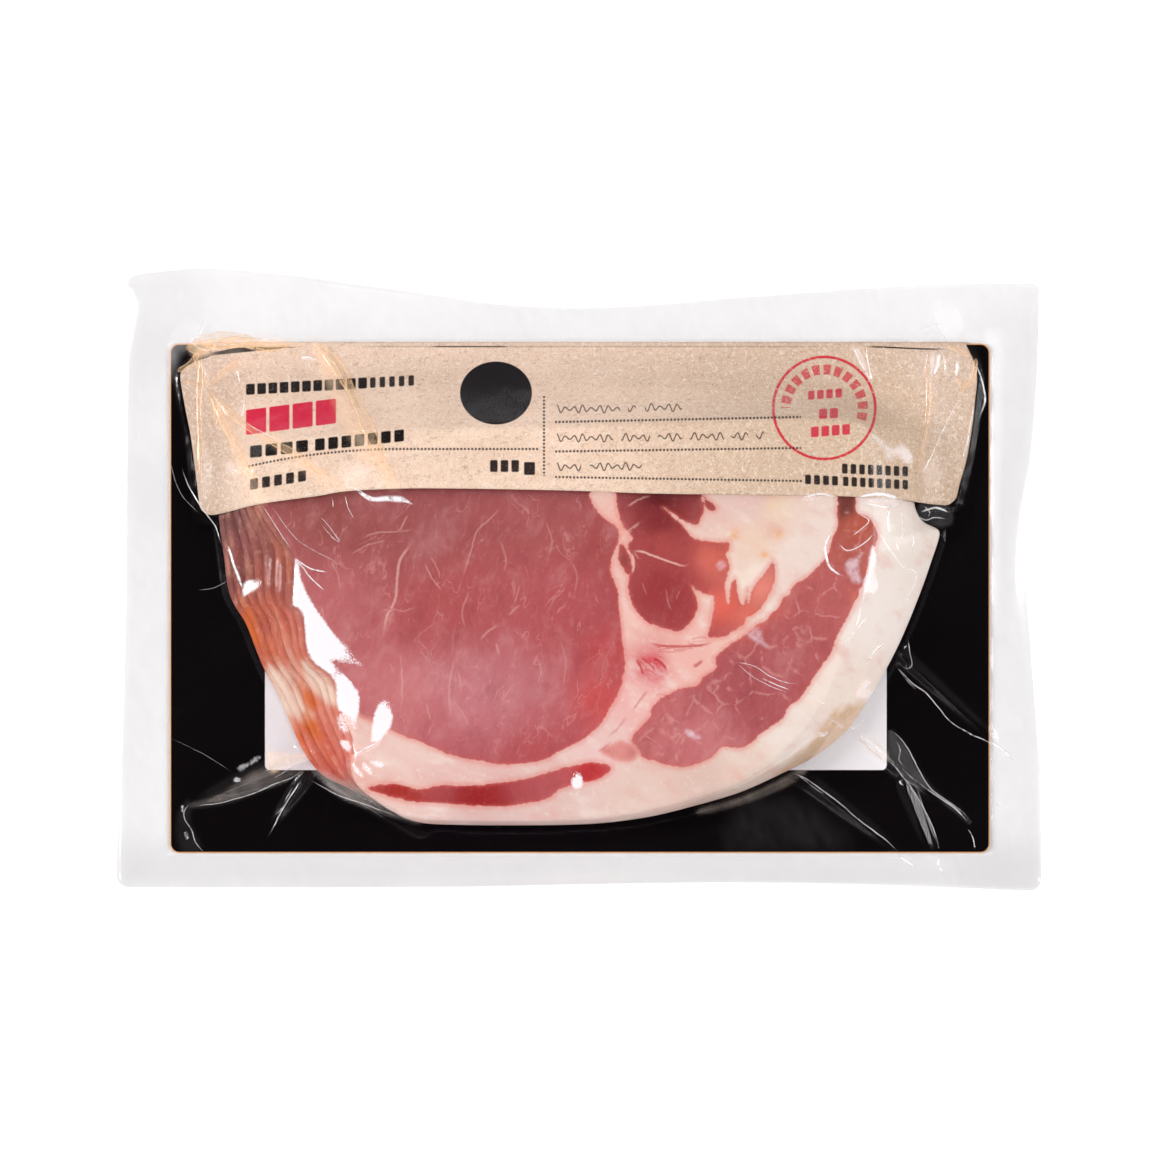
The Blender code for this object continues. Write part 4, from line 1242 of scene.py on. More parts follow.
def flap_material():
    n = Nodes("kraft flap")
    x, y = n.attr("seen_x"), n.attr("seen_y")
    fine = n.coords()
    rough = n.noise(fine, 3.0, 3, 0.7)
    cloud = n.noise(n.coords((0.05, 0.09, 0.07), 0.2), 1.0, 3, 0.6)
    base = n.mix(n.ramp(cloud, 0.35, 0.65), rgba(241, 209, 185), rgba(253, 221, 197))
    base = n.mix(n.ramp(x, 262, 215, 0, 0.85), base, rgba(206, 178, 158))
    base = n.mix(n.ramp(x, 560, 790, 0, 0.85), base, rgba(216, 187, 160))
    base = n.mix(n.ramp(x, 905, 950, 0, 0.6), base, rgba(208, 180, 156))
    # painted shade: the upper part of the flap, where the paper bends up from the fold, is darker
    upper = n.ramp(y, 396, 372, 0, 0.35)
    base = n.mix(upper, base, rgba(216, 188, 170))
    fibre = n.noise(fine, 2.2, 4, 0.7)
    base = n.mix(n.ramp(fibre, 0.52, 0.70, 0, 0.7), base, rgba(255, 234, 216))
    base = n.mix(n.ramp(fibre, 0.48, 0.28, 0, 0.6), base, rgba(190, 158, 136))
    for turn, size, seed in ((0.4, 0.55, 3.0), (-0.7, 0.7, 11.0), (1.3, 0.6, 23.0)):
        where = n.node("ShaderNodeVectorMath", {0: n.coords((size, size * 1.7, 1.0), turn), 1: (seed, seed, 0)}, operation="ADD").outputs[0]
        hair = n.math("ABSOLUTE", n.math("SUBTRACT", n.noise(where, 1.0, 2, 0.5, 0.8), 0.5))
        there = n.ramp(n.noise(where, 0.9, 2, 0.5), 0.50, 0.58)
        tone = rgba(160, 128, 106) if seed < 10 else rgba(255, 240, 224)
        base = n.mix(n.math("MULTIPLY", n.ramp(hair, 0.040, 0.010, 0, 0.42 if seed < 10 else 0.6), there), base, tone)
    chips = n.noise(n.coords((1.6, 2.4, 2.0), -0.3), 1.0, 3, 0.6)
    base = n.mix(n.ramp(chips, 0.70, 0.76, 0, 0.4), base, rgba(140, 108, 86))

    def dist(ax, ay):
        dx, dy = n.math("SUBTRACT", x, ax), n.math("SUBTRACT", y, ay)
        return n.math("SQRT", n.math("ADD", n.math("MULTIPLY", dx, dx), n.math("MULTIPLY", dy, dy)))

    inks = {0: rgba(30, 24, 24), 1: rgba(52, 42, 40), 2: rgba(222, 36, 72), 3: rgba(84, 64, 56), 4: rgba(214, 70, 82)}
    worn = n.ramp(rough, 0.30, 0.38, 0.55, 1.0)
    colour = base
    for kind, tone in inks.items():
        near = None
        if kind == 3:
            turn = n.math("MULTIPLY", x, 2 * math.pi / 8.6)
            slower = n.math("SINE", n.math("MULTIPLY", x, 2 * math.pi / 23.0))
            size = n.math("MULTIPLY_ADD", slower, 1.3, 2.5)
            swing = n.math("MULTIPLY", n.math("SINE", turn), size)
            steep = n.math("MULTIPLY", n.math("MULTIPLY", n.math("COSINE", turn), size), 2 * math.pi / 8.6)
            steep = n.math("SQRT", n.math("MULTIPLY_ADD", steep, steep, 1.0))
            for x0, x1, level in SCRAWLS:
                off = n.math("ABSOLUTE", n.math("SUBTRACT", n.math("SUBTRACT", y, level), swing))
                off = n.math("SUBTRACT", n.math("DIVIDE", off, steep), 0.62)
                ends = n.math("SUBTRACT", n.math("ABSOLUTE", n.math("SUBTRACT", x, (x0 + x1) / 2)), (x1 - x0) / 2)
                b = n.math("MAXIMUM", off, ends)
                near = b if near is None else n.math("MINIMUM", near, b)
        for x0, x1, y0, y1, k, pitch, gap, slope in BLOCKS:
            if k != kind:
                continue
            level = n.math("MULTIPLY_ADD", x, -slope, y)
            y0, y1 = y0 - slope * x0, y1 - slope * x0
            pitch = (x1 - x0 + gap) / max(1, round((x1 - x0 + gap) / pitch))
            row = shader_box(n, x, level, x0 - gap / 2, x1 + gap / 2, y0, y1, 0.5)
            t = n.math("DIVIDE", n.math("SUBTRACT", x, x0 - gap / 2), pitch)
            t = n.math("SUBTRACT", t, n.math("FLOOR", t))
            t = n.math("MULTIPLY", n.math("SUBTRACT", t, 0.5), pitch)
            b = shader_box(n, t, level, -(pitch - gap) / 2, (pitch - gap) / 2, y0, y1, 1.6)
            b = n.math("MAXIMUM", b, row)
            near = b if near is None else n.math("MINIMUM", near, b)
        mark = n.math("MULTIPLY", n.ramp(near, 0.6, -0.6), worn)
        colour = n.mix(mark, colour, tone)
    # disc
    ex = n.math("DIVIDE", n.math("SUBTRACT", x, 496.0), 36.0)
    ey = n.math("DIVIDE", n.math("SUBTRACT", y, 393.0), 31.5)
    disc = n.math("SQRT", n.math("ADD", n.math("MULTIPLY", ex, ex), n.math("MULTIPLY", ey, ey)))
    colour = n.mix(n.ramp(disc, 1.015, 0.985), colour, rgba(24, 19, 21))
    # stamp: a plain ring with short dashes round its upper half
    ring = n.math("ABSOLUTE", n.math("SUBTRACT", dist(824.3, 408.0), 51.0))
    stamp = n.ramp(ring, 1.9, 0.9)
    angle = n.math("ARCTAN2", n.math("SUBTRACT", 408.0, y), n.math("SUBTRACT", x, 824.3))
    turn = n.math("MULTIPLY_ADD", angle, 22 / (2 * math.pi), 0.25)
    turn = n.math("ABSOLUTE", n.math("SUBTRACT", n.math("SUBTRACT", turn, n.math("FLOOR", turn)), 0.5))
    dash = n.math("MULTIPLY", n.ramp(turn, 0.36, 0.30), n.ramp(n.math("ABSOLUTE", n.math("SUBTRACT", dist(824.3, 408.0), 38.5)), 5.4, 4.6))
    dash = n.math("MULTIPLY", dash, n.ramp(angle, -0.42, -0.38))
    stamp = n.math("MAXIMUM", stamp, n.math("MULTIPLY", dash, 0.85))
    blot = n.ramp(n.noise(fine, 1.3, 3, 0.7), 0.34, 0.44, 0.35, 1.0)
    colour = n.mix(n.math("MULTIPLY", stamp, blot), colour, rgba(214, 62, 74))

    # dotted rules
    def dots(along, across, start, end, pitch, size):
        t = n.math("DIVIDE", n.math("SUBTRACT", along, start), pitch)
        t = n.math("SUBTRACT", t, n.math("ROUND", t))
        t = n.math("MULTIPLY", t, pitch)
        r = n.math("SQRT", n.math("ADD", n.math("MULTIPLY", t, t), n.math("MULTIPLY", across, across)))
        m = n.ramp(r, size + 0.45, size - 0.45)
        inside = n.math("MULTIPLY", n.math("GREATER_THAN", along, start - 1), n.math("LESS_THAN", along, end + 1))
        return n.math("MULTIPLY", m, inside)

    bend = n.math("MAXIMUM", n.math("DIVIDE", n.math("SUBTRACT", 400.0, x), 150.0), 0.0)
    sag = n.math("MULTIPLY", n.math("MULTIPLY", bend, bend), 17.0)
    left_rule = dots(x, n.math("SUBTRACT", n.math("SUBTRACT", y, 449.0), sag), 249, 538, 3.6, 1.25)
    marks = n.math("MAXIMUM", left_rule, dots(y, n.math("SUBTRACT", x, 544.0), 397, 475, 3.6, 1.25))
    for y0, y1, x1 in ((422, 417, 800), (451.5, 448, 800), (477, 481, 801)):
        slope = n.math("MULTIPLY_ADD", x, (y1 - y0) / (x1 - 556), y0 - 556 * (y1 - y0) / (x1 - 556))
        marks = n.math("MAXIMUM", marks, dots(x, n.math("SUBTRACT", y, slope), 556, x1, 3.6, 1.25))
    colour = n.mix(n.math("MULTIPLY", marks, 0.9), colour, rgba(60, 50, 46))
    # shadow where the paper has come away from the board's upper edge
    upper = n.math("SUBTRACT", y, n.ramp(x, 244, 212, 346.6, 351.5))
    lower = n.math("SUBTRACT", n.math("MULTIPLY_ADD", x, -0.098, 376.4), y)
    gap_y = n.math("MINIMUM", upper, lower)
    colour = n.mix(n.ramp(gap_y, -0.2, 0.7), colour, rgba(14, 9, 10))
    seam = n.math("ABSOLUTE", n.math("SUBTRACT", n.math("SUBTRACT", y, 346.6), n.ramp(x, 860, 940, 0.0, 2.6)))
    spans = n.math("MAXIMUM", n.ramp(n.math("ABSOLUTE", n.math("SUBTRACT", x, 470)), 46, 30, 0, 0.85), n.ramp(n.math("ABSOLUTE", n.math("SUBTRACT", x, 905)), 44, 26))
    spans = n.math("MAXIMUM", spans, n.ramp(n.math("ABSOLUTE", n.math("SUBTRACT", x, 590)), 250, 200, 0, 0.3))
    colour = n.mix(n.math("MULTIPLY", n.ramp(seam, 1.2, 0.3), spans), colour, rgba(40, 26, 22))
    colour = scaled(n, colour, GAIN)
    height = n.math("ADD", fibre, n.math("MULTIPLY", rough, 0.5))
    bsdf = n.node("ShaderNodeBsdfPrincipled", {
        "Base Color": colour, "Roughness": 0.75, "Specular IOR Level": 0.04,
        "Normal": n.bump(height, 0.3, 0.0004),
    })
    return n.surface(bsdf.outputs[0])


dress(FLAP_OBJ, flap_material())


# ------------------------------------------------------------ film's finish ---
# creases: points, half width in mm, strength, tint (0 clear, 1 tan); the white line along a clear crease is a painted
# highlight on a real ridge
CREASES = [
    ([(976, 357), (975, 369), (971, 381), (963, 390)], 0.5, 0.8, 1), ([(957, 377), (961, 386), (966, 393)], 0.4, 0.7, 1),
    ([(941, 350), (945, 362), (944, 378)], 0.2, 0.5, 0), ([(927, 352), (925, 366), (921, 380)], 0.16, 0.4, 0),
    ([(948, 346), (945, 338), (936, 325), (927, 323)], 0.12, 0.35, 0),
    ([(890, 506), (888, 520), (890, 534)], 0.3, 0.35, 0), ([(901, 511), (904, 525), (901, 541)], 0.3, 0.35, 0),
    ([(911, 529), (914, 541), (911, 553)], 0.26, 0.35, 0), ([(896, 542), (900, 553)], 0.26, 0.3, 0),
    ([(227.6, 544), (233, 562), (238, 576), (243, 590)], 0.42, 1.0, 0),
    ([(294.6, 558), (311, 569), (328.6, 572)], 0.30, 0.9, 0),
    ([(295, 559), (304, 569), (308, 575), (318, 585), (326, 592)], 0.26, 0.8, 0),
    ([(262, 505), (277, 528), (292, 551)], 0.16, 0.5, 0), ([(271, 505), (290, 532), (306, 546), (335, 562), (331, 570)], 0.14, 0.4, 0),
    ([(318, 515), (327, 524), (336, 536), (340, 542), (333, 538), (320, 522)], 0.16, 0.5, 0),
    ([(345, 495), (348, 508), (355, 520)], 0.18, 0.5, 0), ([(332, 498), (333, 508)], 0.16, 0.4, 0),
    ([(346, 487), (356, 489), (366, 495), (376, 500)], 0.3, 0.8, 0), ([(356, 491), (372, 499), (390, 498.5), (404, 500), (415, 505.5)], 0.75, 0.9, 0),
    ([(352, 739), (356, 753), (366, 748), (381, 741)], 0.26, 0.9, 0), ([(351, 757), (368, 751), (384, 740)], 0.16, 0.6, 0),
    ([(304, 768), (293, 777), (276, 783.5), (254, 793), (224, 802), (191, 806.5)], 0.15, 0.6, 0),
    ([(302, 754), (285, 764), (262, 772)], 0.14, 0.5, 0), ([(298, 762), (286, 771), (272, 779)], 0.12, 0.5, 0),
    ([(172, 739), (200, 752), (220, 764), (232, 772)], 0.10, 0.2, 0), ([(301, 779), (288, 800), (276, 822), (267.5, 838)], 0.14, 0.5, 0),
    ([(293, 787), (288, 795), (284, 803)], 0.12, 0.75, 0), ([(199, 590), (214, 588), (228, 580)], 0.12, 0.3, 0),
    ([(182, 468), (190, 488), (205, 512), (216, 528), (222, 548)], 0.22, 0.6, 0), ([(168, 455), (180, 492), (200, 514)], 0.12, 0.3, 0),
    ([(309, 779), (337, 794.5), (369, 806), (395, 815.5), (419, 823.5)], 0.18, 0.6, 0),
    ([(190, 803), (184, 811), (185, 820), (191.6, 830), (196, 843), (206, 855)], 0.14, 0.5, 0),
    ([(832, 531), (826, 542), (825, 550), (827, 560), (832, 569), (844, 577)], 0.34, 0.9, 0),
    ([(878, 531), (902, 565), (913, 570), (917, 577), (912, 591), (905, 605), (900, 618)], 0.2, 0.8, 0),
    ([(868, 616), (858, 628), (851, 635), (837, 650)], 0.22, 0.4, 0), ([(886, 641), (876, 650), (866, 662)], 0.34, 0.6, 0),
    ([(734, 662), (754, 666), (770, 676), (787, 683), (800, 683)], 0.15, 0.6, 0),
    ([(736, 663), (754, 677.5), (775, 688), (793, 694.5)], 0.13, 0.55, 0), ([(761, 677.5), (779, 685.5), (791, 690)], 0.18, 0.85, 0),
    ([(808, 693), (818, 700), (827, 706)], 0.14, 0.5, 0), ([(828, 718), (836, 722), (843, 729)], 0.18, 0.7, 0),
    ([(852, 536), (862, 528), (869, 520), (858, 514)], 0.22, 0.75, 0), ([(838, 542), (846, 550), (856, 548), (868, 540), (874, 532)], 0.22, 0.8, 0),
    ([(908, 640), (909.5, 652), (912, 665), (906, 669), (907, 662)], 0.13, 0.6, 0),
    ([(894, 663), (911, 682), (925, 692), (936, 705), (951.6, 722.6), (970.7, 734), (990, 743), (1006, 754)], 0.17, 0.65, 0),
    ([(897, 667), (905, 678), (915, 689)], 0.12, 0.5, 0),
    ([(887.5, 730), (898, 736), (909.4, 751), (919, 770.5), (928.6, 786), (944, 799), (961, 810.7), (972, 823)], 0.15, 0.6, 0),
    ([(924, 787), (940, 798), (956, 809), (968, 823)], 0.16, 0.75, 0), ([(968, 829), (973, 838), (974.6, 849)], 0.16, 0.7, 0),
    ([(887.4, 759), (896, 768), (905.6, 780), (917, 786)], 0.18, 0.5, 0), ([(896, 741), (900, 750), (899, 760), (906, 768)], 0.12, 0.5, 0),
    ([(906, 780), (919, 800), (928.6, 818), (935, 834), (940, 849)], 0.15, 0.6, 0), ([(916, 786), (923, 806), (931, 828), (938, 846)], 0.10, 0.4, 0),
    ([(855.8, 731), (870, 744), (886, 757)], 0.22, 0.8, 0), ([(858, 738), (872, 751), (887, 763)], 0.16, 0.5, 1), ([(850, 724), (862, 738), (876, 750)], 0.14, 0.7, 0),
    ([(790, 772), (808, 780), (836.6, 801), (861.5, 822), (882.6, 837.5), (902, 855)], 0.18, 0.6, 0),
    ([(797, 774), (812, 786), (826, 796)], 0.12, 0.4, 0),
    # folds that run out into the margin
    ([(988, 741), (1000, 748), (1014, 760)], 0.5, 0.75, 0), ([(995.6, 806), (1001, 803.5), (1011, 810)], 0.24, 0.9, 0),
    ([(898, 856), (906, 861), (916, 867)], 0.4, 0.9, 0), ([(938, 857), (938.6, 866), (944, 873)], 0.34, 0.9, 0),
    ([(804, 497), (820, 494), (836, 497)], 0.5, 0.7, 0), ([(858, 497), (880, 494), (901, 499)], 0.55, 0.9, 0),
    ([(866, 503), (886, 507), (902, 503)], 0.28, 0.8, 0), ([(921, 512), (936, 508), (949, 513)], 0.34, 0.8, 0),
    ([(918, 516), (926, 520), (934, 517), (946, 519)], 0.2, 0.8, 0), ([(924, 506), (930, 512), (928, 518)], 0.2, 0.8, 0),
    # folds in the film over the flap
    ([(305, 342), (323, 350), (338.6, 369), (354, 396.5), (369, 430), (384.5, 463), (401, 486)], 1.05, 0.55, 1),
    ([(318, 346), (333, 358), (348, 384), (362, 414)], 0.5, 0.4, 1),
    ([(201, 343), (200, 380), (199, 420), (201, 490)], 0.5, 0.45, 1), ([(207, 387), (224, 372), (244, 357)], 0.55, 0.55, 1),
    ([(207, 388), (221, 417), (238, 452), (252, 476), (260, 488)], 0.6, 0.5, 1),
    ([(207, 388), (236, 418), (268, 440), (293, 453), (318, 470), (344, 486)], 0.6, 0.5, 1),
    ([(193, 352), (201, 372), (207, 388)], 0.5, 0.5, 1), ([(182, 380), (196, 384), (207, 388)], 0.4, 0.4, 1),
    ([(237, 369), (238.5, 376), (240, 383)], 0.24, 0.8, 0), ([(244, 398), (243, 408), (241, 418)], 0.26, 0.8, 0),
    ([(213, 396), (222, 408), (230, 420)], 0.16, 0.7, 0), ([(247, 424), (262, 432), (278, 440)], 0.14, 0.7, 0),
    ([(300, 358), (309, 357), (315, 361)], 0.5, 0.75, 0),
    ([(851, 343), (860, 362), (871, 379), (868, 362), (866, 345)], 0.28, 0.85, 0), ([(939, 352), (938, 362), (934, 376)], 0.5, 0.8, 0),
    ([(957, 360), (957, 368), (956, 378)], 0.4, 0.8, 0), ([(962, 396), (948, 420), (934, 450), (921, 478)], 0.2, 0.6, 0),
    ([(974, 405), (968, 436), (962, 467)], 0.28, 0.5, 0), ([(923, 355), (929, 390), (926, 430), (915, 480)], 0.46, 0.35, 1),
    ([(945, 345), (958, 350), (974, 358)], 0.5, 0.5, 1), ([(880, 345), (896, 360), (905, 372)], 0.16, 0.4, 0),
    ([(975, 363), (981, 378), (985, 400), (979, 418)], 0.3, 0.6, 0), ([(905, 342), (925, 328), (940, 324), (946, 338)], 0.16, 0.5, 0),
    ([(193, 341), (215, 345), (240, 342), (270, 347), (300, 344)], 0.9, 0.6, 1), ([(182, 352), (204, 338), (232, 336), (262, 340)], 0.6, 0.5, 1),
    ([(205, 318), (200, 332), (196, 345)], 0.3, 0.5, 0), ([(176, 372), (190, 364), (200, 350)], 0.6, 0.6, 1),
    ([(186, 346), (196, 352), (206, 350), (214, 345)], 0.6, 0.5, 1), ([(188, 342), (197, 337), (212, 338)], 0.24, 0.8, 0),
    ([(190, 340), (203, 350), (220, 347)], 0.18, 0.7, 0), ([(200, 337), (228, 345), (258, 339), (282, 346)], 0.14, 0.6, 0),
    ([(196, 358), (205, 370), (203, 386)], 0.18, 0.6, 0), ([(214, 350), (240, 345), (268, 349), (296, 344)], 0.5, 0.5, 1),
    ([(226, 338), (236, 333), (250, 336)], 0.2, 0.5, 0), ([(207, 388), (214, 404), (216, 430)], 0.4, 0.4, 1),
]
PAINTED_HIGHLIGHTS = [      # painted highlights: broad white patches where the film reflects the lamps
    ([(294.6, 558), (299, 562), (301, 578), (308, 594), (318, 611), (329, 626), (338, 638), (347, 645), (354, 656),
      (365, 668), (352, 664), (340, 663), (331, 661), (345, 674), (358, 691), (360, 705), (357, 722), (354, 736),
      (352, 726), (349, 718), (338, 710), (336, 695), (335, 682), (326, 672), (315, 664), (307, 651), (305, 634),
      (303, 616), (297, 608), (292, 605), (293, 590), (294, 572)], 0.92),
    ([(371, 742), (372, 725), (375, 710), (382, 699), (389, 702), (393, 716), (391, 728), (384, 736), (381, 741)], 0.92),
    ([(337, 716), (344, 714), (350, 726), (348, 734), (338, 730)], 0.8), ([(340, 740), (350, 741), (351, 753), (342, 748)], 0.75),
    ([(243, 584), (252, 579), (261, 581), (260, 588), (250, 593), (243, 597)], 0.9),
    ([(353, 764), (357, 766), (364, 776), (361, 778), (354, 771)], 0.9), ([(361, 763), (366, 763), (373, 772), (370, 775), (364, 769)], 0.9),
    ([(370, 760), (384, 762), (382, 768), (374, 766)], 0.85), 
    ([(872.5, 543), (876.5, 554), (875, 572), (879, 585), (875, 594), (865, 591), (862, 582), (867, 572), (868, 557)], 0.55), ([(572, 776), (578, 771), (583, 778), (582, 788), (574, 789), (571, 783)], 0.9),
    ([(861, 684), (868, 679), (872, 682), (867, 690), (874, 690), (868, 699), (855, 697), (858, 690)], 0.5),
    ([(817, 731), (822, 733), (828, 730), (828, 735), (821, 738)], 0.8), ([(236, 769), (242, 764), (249, 763), (248, 767), (241, 771)], 0.35), ([(249, 762), (255, 757), (262, 756), (258, 761), (251, 765)], 0.35), ([(233, 779), (238, 777), (242, 779), (239, 782), (235, 782)], 0.9), ([(181, 806), (184, 806), (185, 811), (182, 812)], 0.7), ([(184, 832), (187, 833), (189, 839), (186, 839)], 0.7), ([(868, 434), (880, 436), (892, 446), (902, 441), (915, 456), (908, 466), (896, 458), (888, 464), (880, 448)], 0.62),
    ([(852, 346), (860, 349), (866, 362), (869, 374), (861, 368), (856, 358)], 0.35), ([(930, 352), (936, 352), (935, 372), (929, 374)], 0.4),
    ([(800, 500), (812, 495), (830, 498), (812, 503)], 0.5), ([(864, 499), (885, 495), (902, 500), (890, 506), (872, 506)], 0.75),
]


VEILS = [      # parts where loose film stands off and looks milky: outline, strength, tint, softness
    ([(188, 806), (214, 797), (234, 786), (250, 774), (266, 768), (282, 762), (302, 754), (306, 766), (292, 776),
      (262, 789), (228, 801)], 0.11, 0.35, 1.4),
    ([(268, 752), (285, 753), (304, 753), (306, 758), (285, 768), (270, 774)], 0.38, 1.0, 0.7),
    ([(312, 768), (330, 774), (352, 786), (378, 798), (402, 812), (420, 825), (398, 818), (362, 806), (336, 794)], 0.2, 0.3, 0.6),
    ([(888, 731), (898, 736), (909, 751), (919, 770), (929, 786), (920, 789), (908, 782), (896, 769), (889, 760)], 0.045, 0.0, 0.3),
    ([(862, 733), (872, 738), (888, 752), (888, 762), (876, 754)], 0.3, 0.5, 0.7),
    ([(735, 798), (770, 792), (800, 800), (836, 824), (850, 850), (790, 852), (728, 850)], 0.009, 0.0, 4.0),
    ([(929, 786), (944, 799), (961, 811), (971, 824), (960, 815), (944, 802)], 0.08, 0.0, 0.5),
    ([(700, 808), (740, 797), (778, 780), (800, 768), (806, 773), (784, 788), (744, 804), (702, 814)], 0.10, 0.6, 0.6),
    ([(930, 300), (946, 296), (960, 312), (966, 336), (950, 340), (936, 326)], 0.16, 0.0, 1.5),
    ([(168, 330), (186, 318), (204, 322), (200, 340), (180, 356), (170, 380), (164, 360)], 0.16, 0.0, 2.0),
    ([(186, 800), (192, 806), (190, 822), (202, 848), (196, 852), (180, 850), (176, 820)], 0.012, 0.0, 1.0),
    ([(905, 352), (935, 346), (962, 350), (972, 380), (966, 440), (948, 480), (930, 470), (928, 420)], 0.10, 0.0, 4.0),
    ([(196, 346), (230, 343), (262, 352), (240, 372), (212, 384), (198, 372)], 0.12, 0.6, 3.0),
    ([(340, 468), (356, 462), (378, 466), (392, 484), (366, 487), (344, 486)], 0.22, 0.2, 2.0),
    ([(312, 343), (322, 346), (340, 384), (362, 428), (400, 484), (384, 486), (352, 444), (330, 398)], 0.24, 1.0, 1.6),
    ([(204, 382), (214, 392), (232, 424), (262, 486), (268, 502), (254, 500), (232, 452), (208, 404)], 0.18, 1.0, 1.4),
    ([(268, 432), (284, 440), (312, 462), (346, 488), (330, 490), (300, 470), (272, 446)], 0.16, 1.0, 1.4),
    ([(918, 505), (930, 503), (950, 507), (952, 524), (936, 527), (920, 522)], 0.035, 0.0, 0.6),
    ([(187, 346), (200, 340), (216, 341), (214, 354), (198, 358), (190, 352)], 0.42, 1.0, 0.8),
    ([(216, 337), (250, 337), (290, 341), (302, 345), (262, 346), (226, 346)], 0.4, 1.0, 0.5),
    ([(470, 640), (540, 660), (560, 700), (500, 730), (430, 700), (420, 660)], 0.05, 0.0, 9.0),
]


def film_attributes(obj):
    px, py = picture(FILM_X.ravel(), FILM_Y.ravel(), FILM_Z.ravel())
    count = len(px)
    painted_highlight, level = np.full(count, -9.0), np.zeros(count)
    for points, strength in PAINTED_HIGHLIGHTS:
        pts = spline(points, True, 2)
        lo, hi = pts.min(axis=0) - 18, pts.max(axis=0) + 18
        sel = np.where((px > lo[0]) & (px < hi[0]) & (py > lo[1]) & (py < hi[1]))[0]
        d = PX * inside_distance(px[sel], py[sel], pts)
        better = d > painted_highlight[sel]
        painted_highlight[sel[better]], level[sel[better]] = d[better], strength
    veil, veil_tint = np.zeros(count), np.zeros(count)
    fx, fy = FILM_X.ravel(), FILM_Y.ravel()
    cloudy = 1 + 0.65 * noise(fx * 0.9 + fy * 0.4, (fy * 0.9 - fx * 0.4) * 0.5, 1.9, 311, 3)
    for points, strength, tan, soft in VEILS:
        v = strength * smooth(-0.7 * soft, soft, region(points, px, py, 3)) * cloudy
        veil_tint = np.where(v > veil, tan, veil_tint)
        veil = np.maximum(veil, v)
    rest = int(FILM_USED[count:].sum())

    def both(v, fill):
        return np.concatenate((v, np.full(rest, fill)))

    out = OUT.ravel()
    # two sheets in the margin let less light through, least at the lower side
    streaks = noise(fx * 0.6 + fy * 0.2, fy * 0.6 - fx * 0.3, 5.0, 312, 3)
    grey = 0.912 + 0.026 * smooth(55, 72, fy) - 0.048 * smooth(-60, -72, fy) - 0.008 * smooth(90, 105, fx) + 0.010 * streaks
    grey = grey + 0.02 * smooth(0.75, 1.0, out) * smooth(60, 90, np.abs(fx))
    grey = grey - 0.03 * smooth(-88, -100, fx) * smooth(35, 60, fy)
    near_board = smooth(0.3, 0.05, out) * smooth(980, 990, px) * smooth(650, 580, py)
    margin = OUT > 0
    reach = margin.copy()
    for ax in (0, 1):
        for step in (-1, 1):
            reach |= np.roll(margin, step, axis=ax)
    grey = np.where(reach.ravel(), grey + 0.05 * near_board, 0.988)
    veil = np.maximum(veil, np.where(out > 0, 0.05 * smooth(0.0, 0.08, out) * cloudy, 0))
    low = FILM_USED[count:]
    # where the film clings, it hardly shines
    cling = np.maximum.reduce([
        0.9 * smooth(-3, 1, region([(180, 400), (212, 400), (216, 518), (192, 520), (176, 460)], px, py)),
        0.8 * smooth(-3, 3, region([(846, 420), (962, 430), (955, 520), (940, 560), (925, 605), (900, 660), (870, 705),
                                    (845, 705), (862, 640), (868, 600), (860, 540), (846, 500)], px, py)),
        0.8 * smooth(-2, 2, region([(212, 505), (262, 500), (292, 550), (300, 620), (335, 680), (350, 750), (330, 770),
                                    (290, 735), (250, 650), (222, 580)], px, py)),
    ])
    low_edge = np.interp(px, *np.array(FLAP_LOW_PX).T)
    along_flap = smooth(13, 5, np.abs(py - low_edge - 3)) * smooth(205, 225, px) * smooth(960, 940, px)
    cling = np.maximum.reduce([
        cling, 0.85 * along_flap,
        0.85 * smooth(-2, 1, region([(400, 806), (520, 819), (640, 812), (740, 786), (800, 764), (816, 784), (745, 816),
                                     (650, 838), (520, 846), (410, 845), (384, 826)], px, py)),
        0.8 * smooth(-1, 1, region([(956, 345), (990, 345), (990, 420), (984, 470), (966, 530), (940, 545), (938, 505), (958, 480)], px, py)),
        0.5 * smooth(-2, 2, region([(780, 790), (880, 700), (905, 640), (985, 640), (985, 852), (780, 852)], px, py)),
        0.35 * smooth(-2, 2, region([(178, 756), (300, 756), (345, 800), (420, 830), (420, 850), (178, 850)], px, py)),
        0.35 * smooth(-1, 1, look(flap_in, fx, fy)),
    ])
    attribute(obj, "gloss", both(1 - cling, 1.0))
    # ragged, speckled edges for some of the painted highlights
    highlight_fray = np.zeros(count)
    for cx, cy, reach in ((350, 655, 13), (388, 703, 6), (345, 724, 8), (574, 773, 5), (338, 672, 5), (258, 582, 5), (890, 450, 20), (818, 499, 16), (884, 500, 20)):
        highlight_fray = np.maximum(highlight_fray, np.exp(-((px - cx) ** 2 + (py - cy) ** 2) / reach**2))
    attribute(obj, "highlight_fray", both(highlight_fray, 0.0))
    attribute(obj, "veil", both(veil, 0.03))
    attribute(obj, "veil_tint", both(veil_tint, 0.0))
    attribute(obj, "painted_highlight", both(np.clip(painted_highlight, -3, 3), -3.0))
    attribute(obj, "painted_highlight_level", both(level, 0.0))
    attribute(obj, "clear", np.concatenate((grey, grey[low])))


film_attributes(FILM_OBJ)


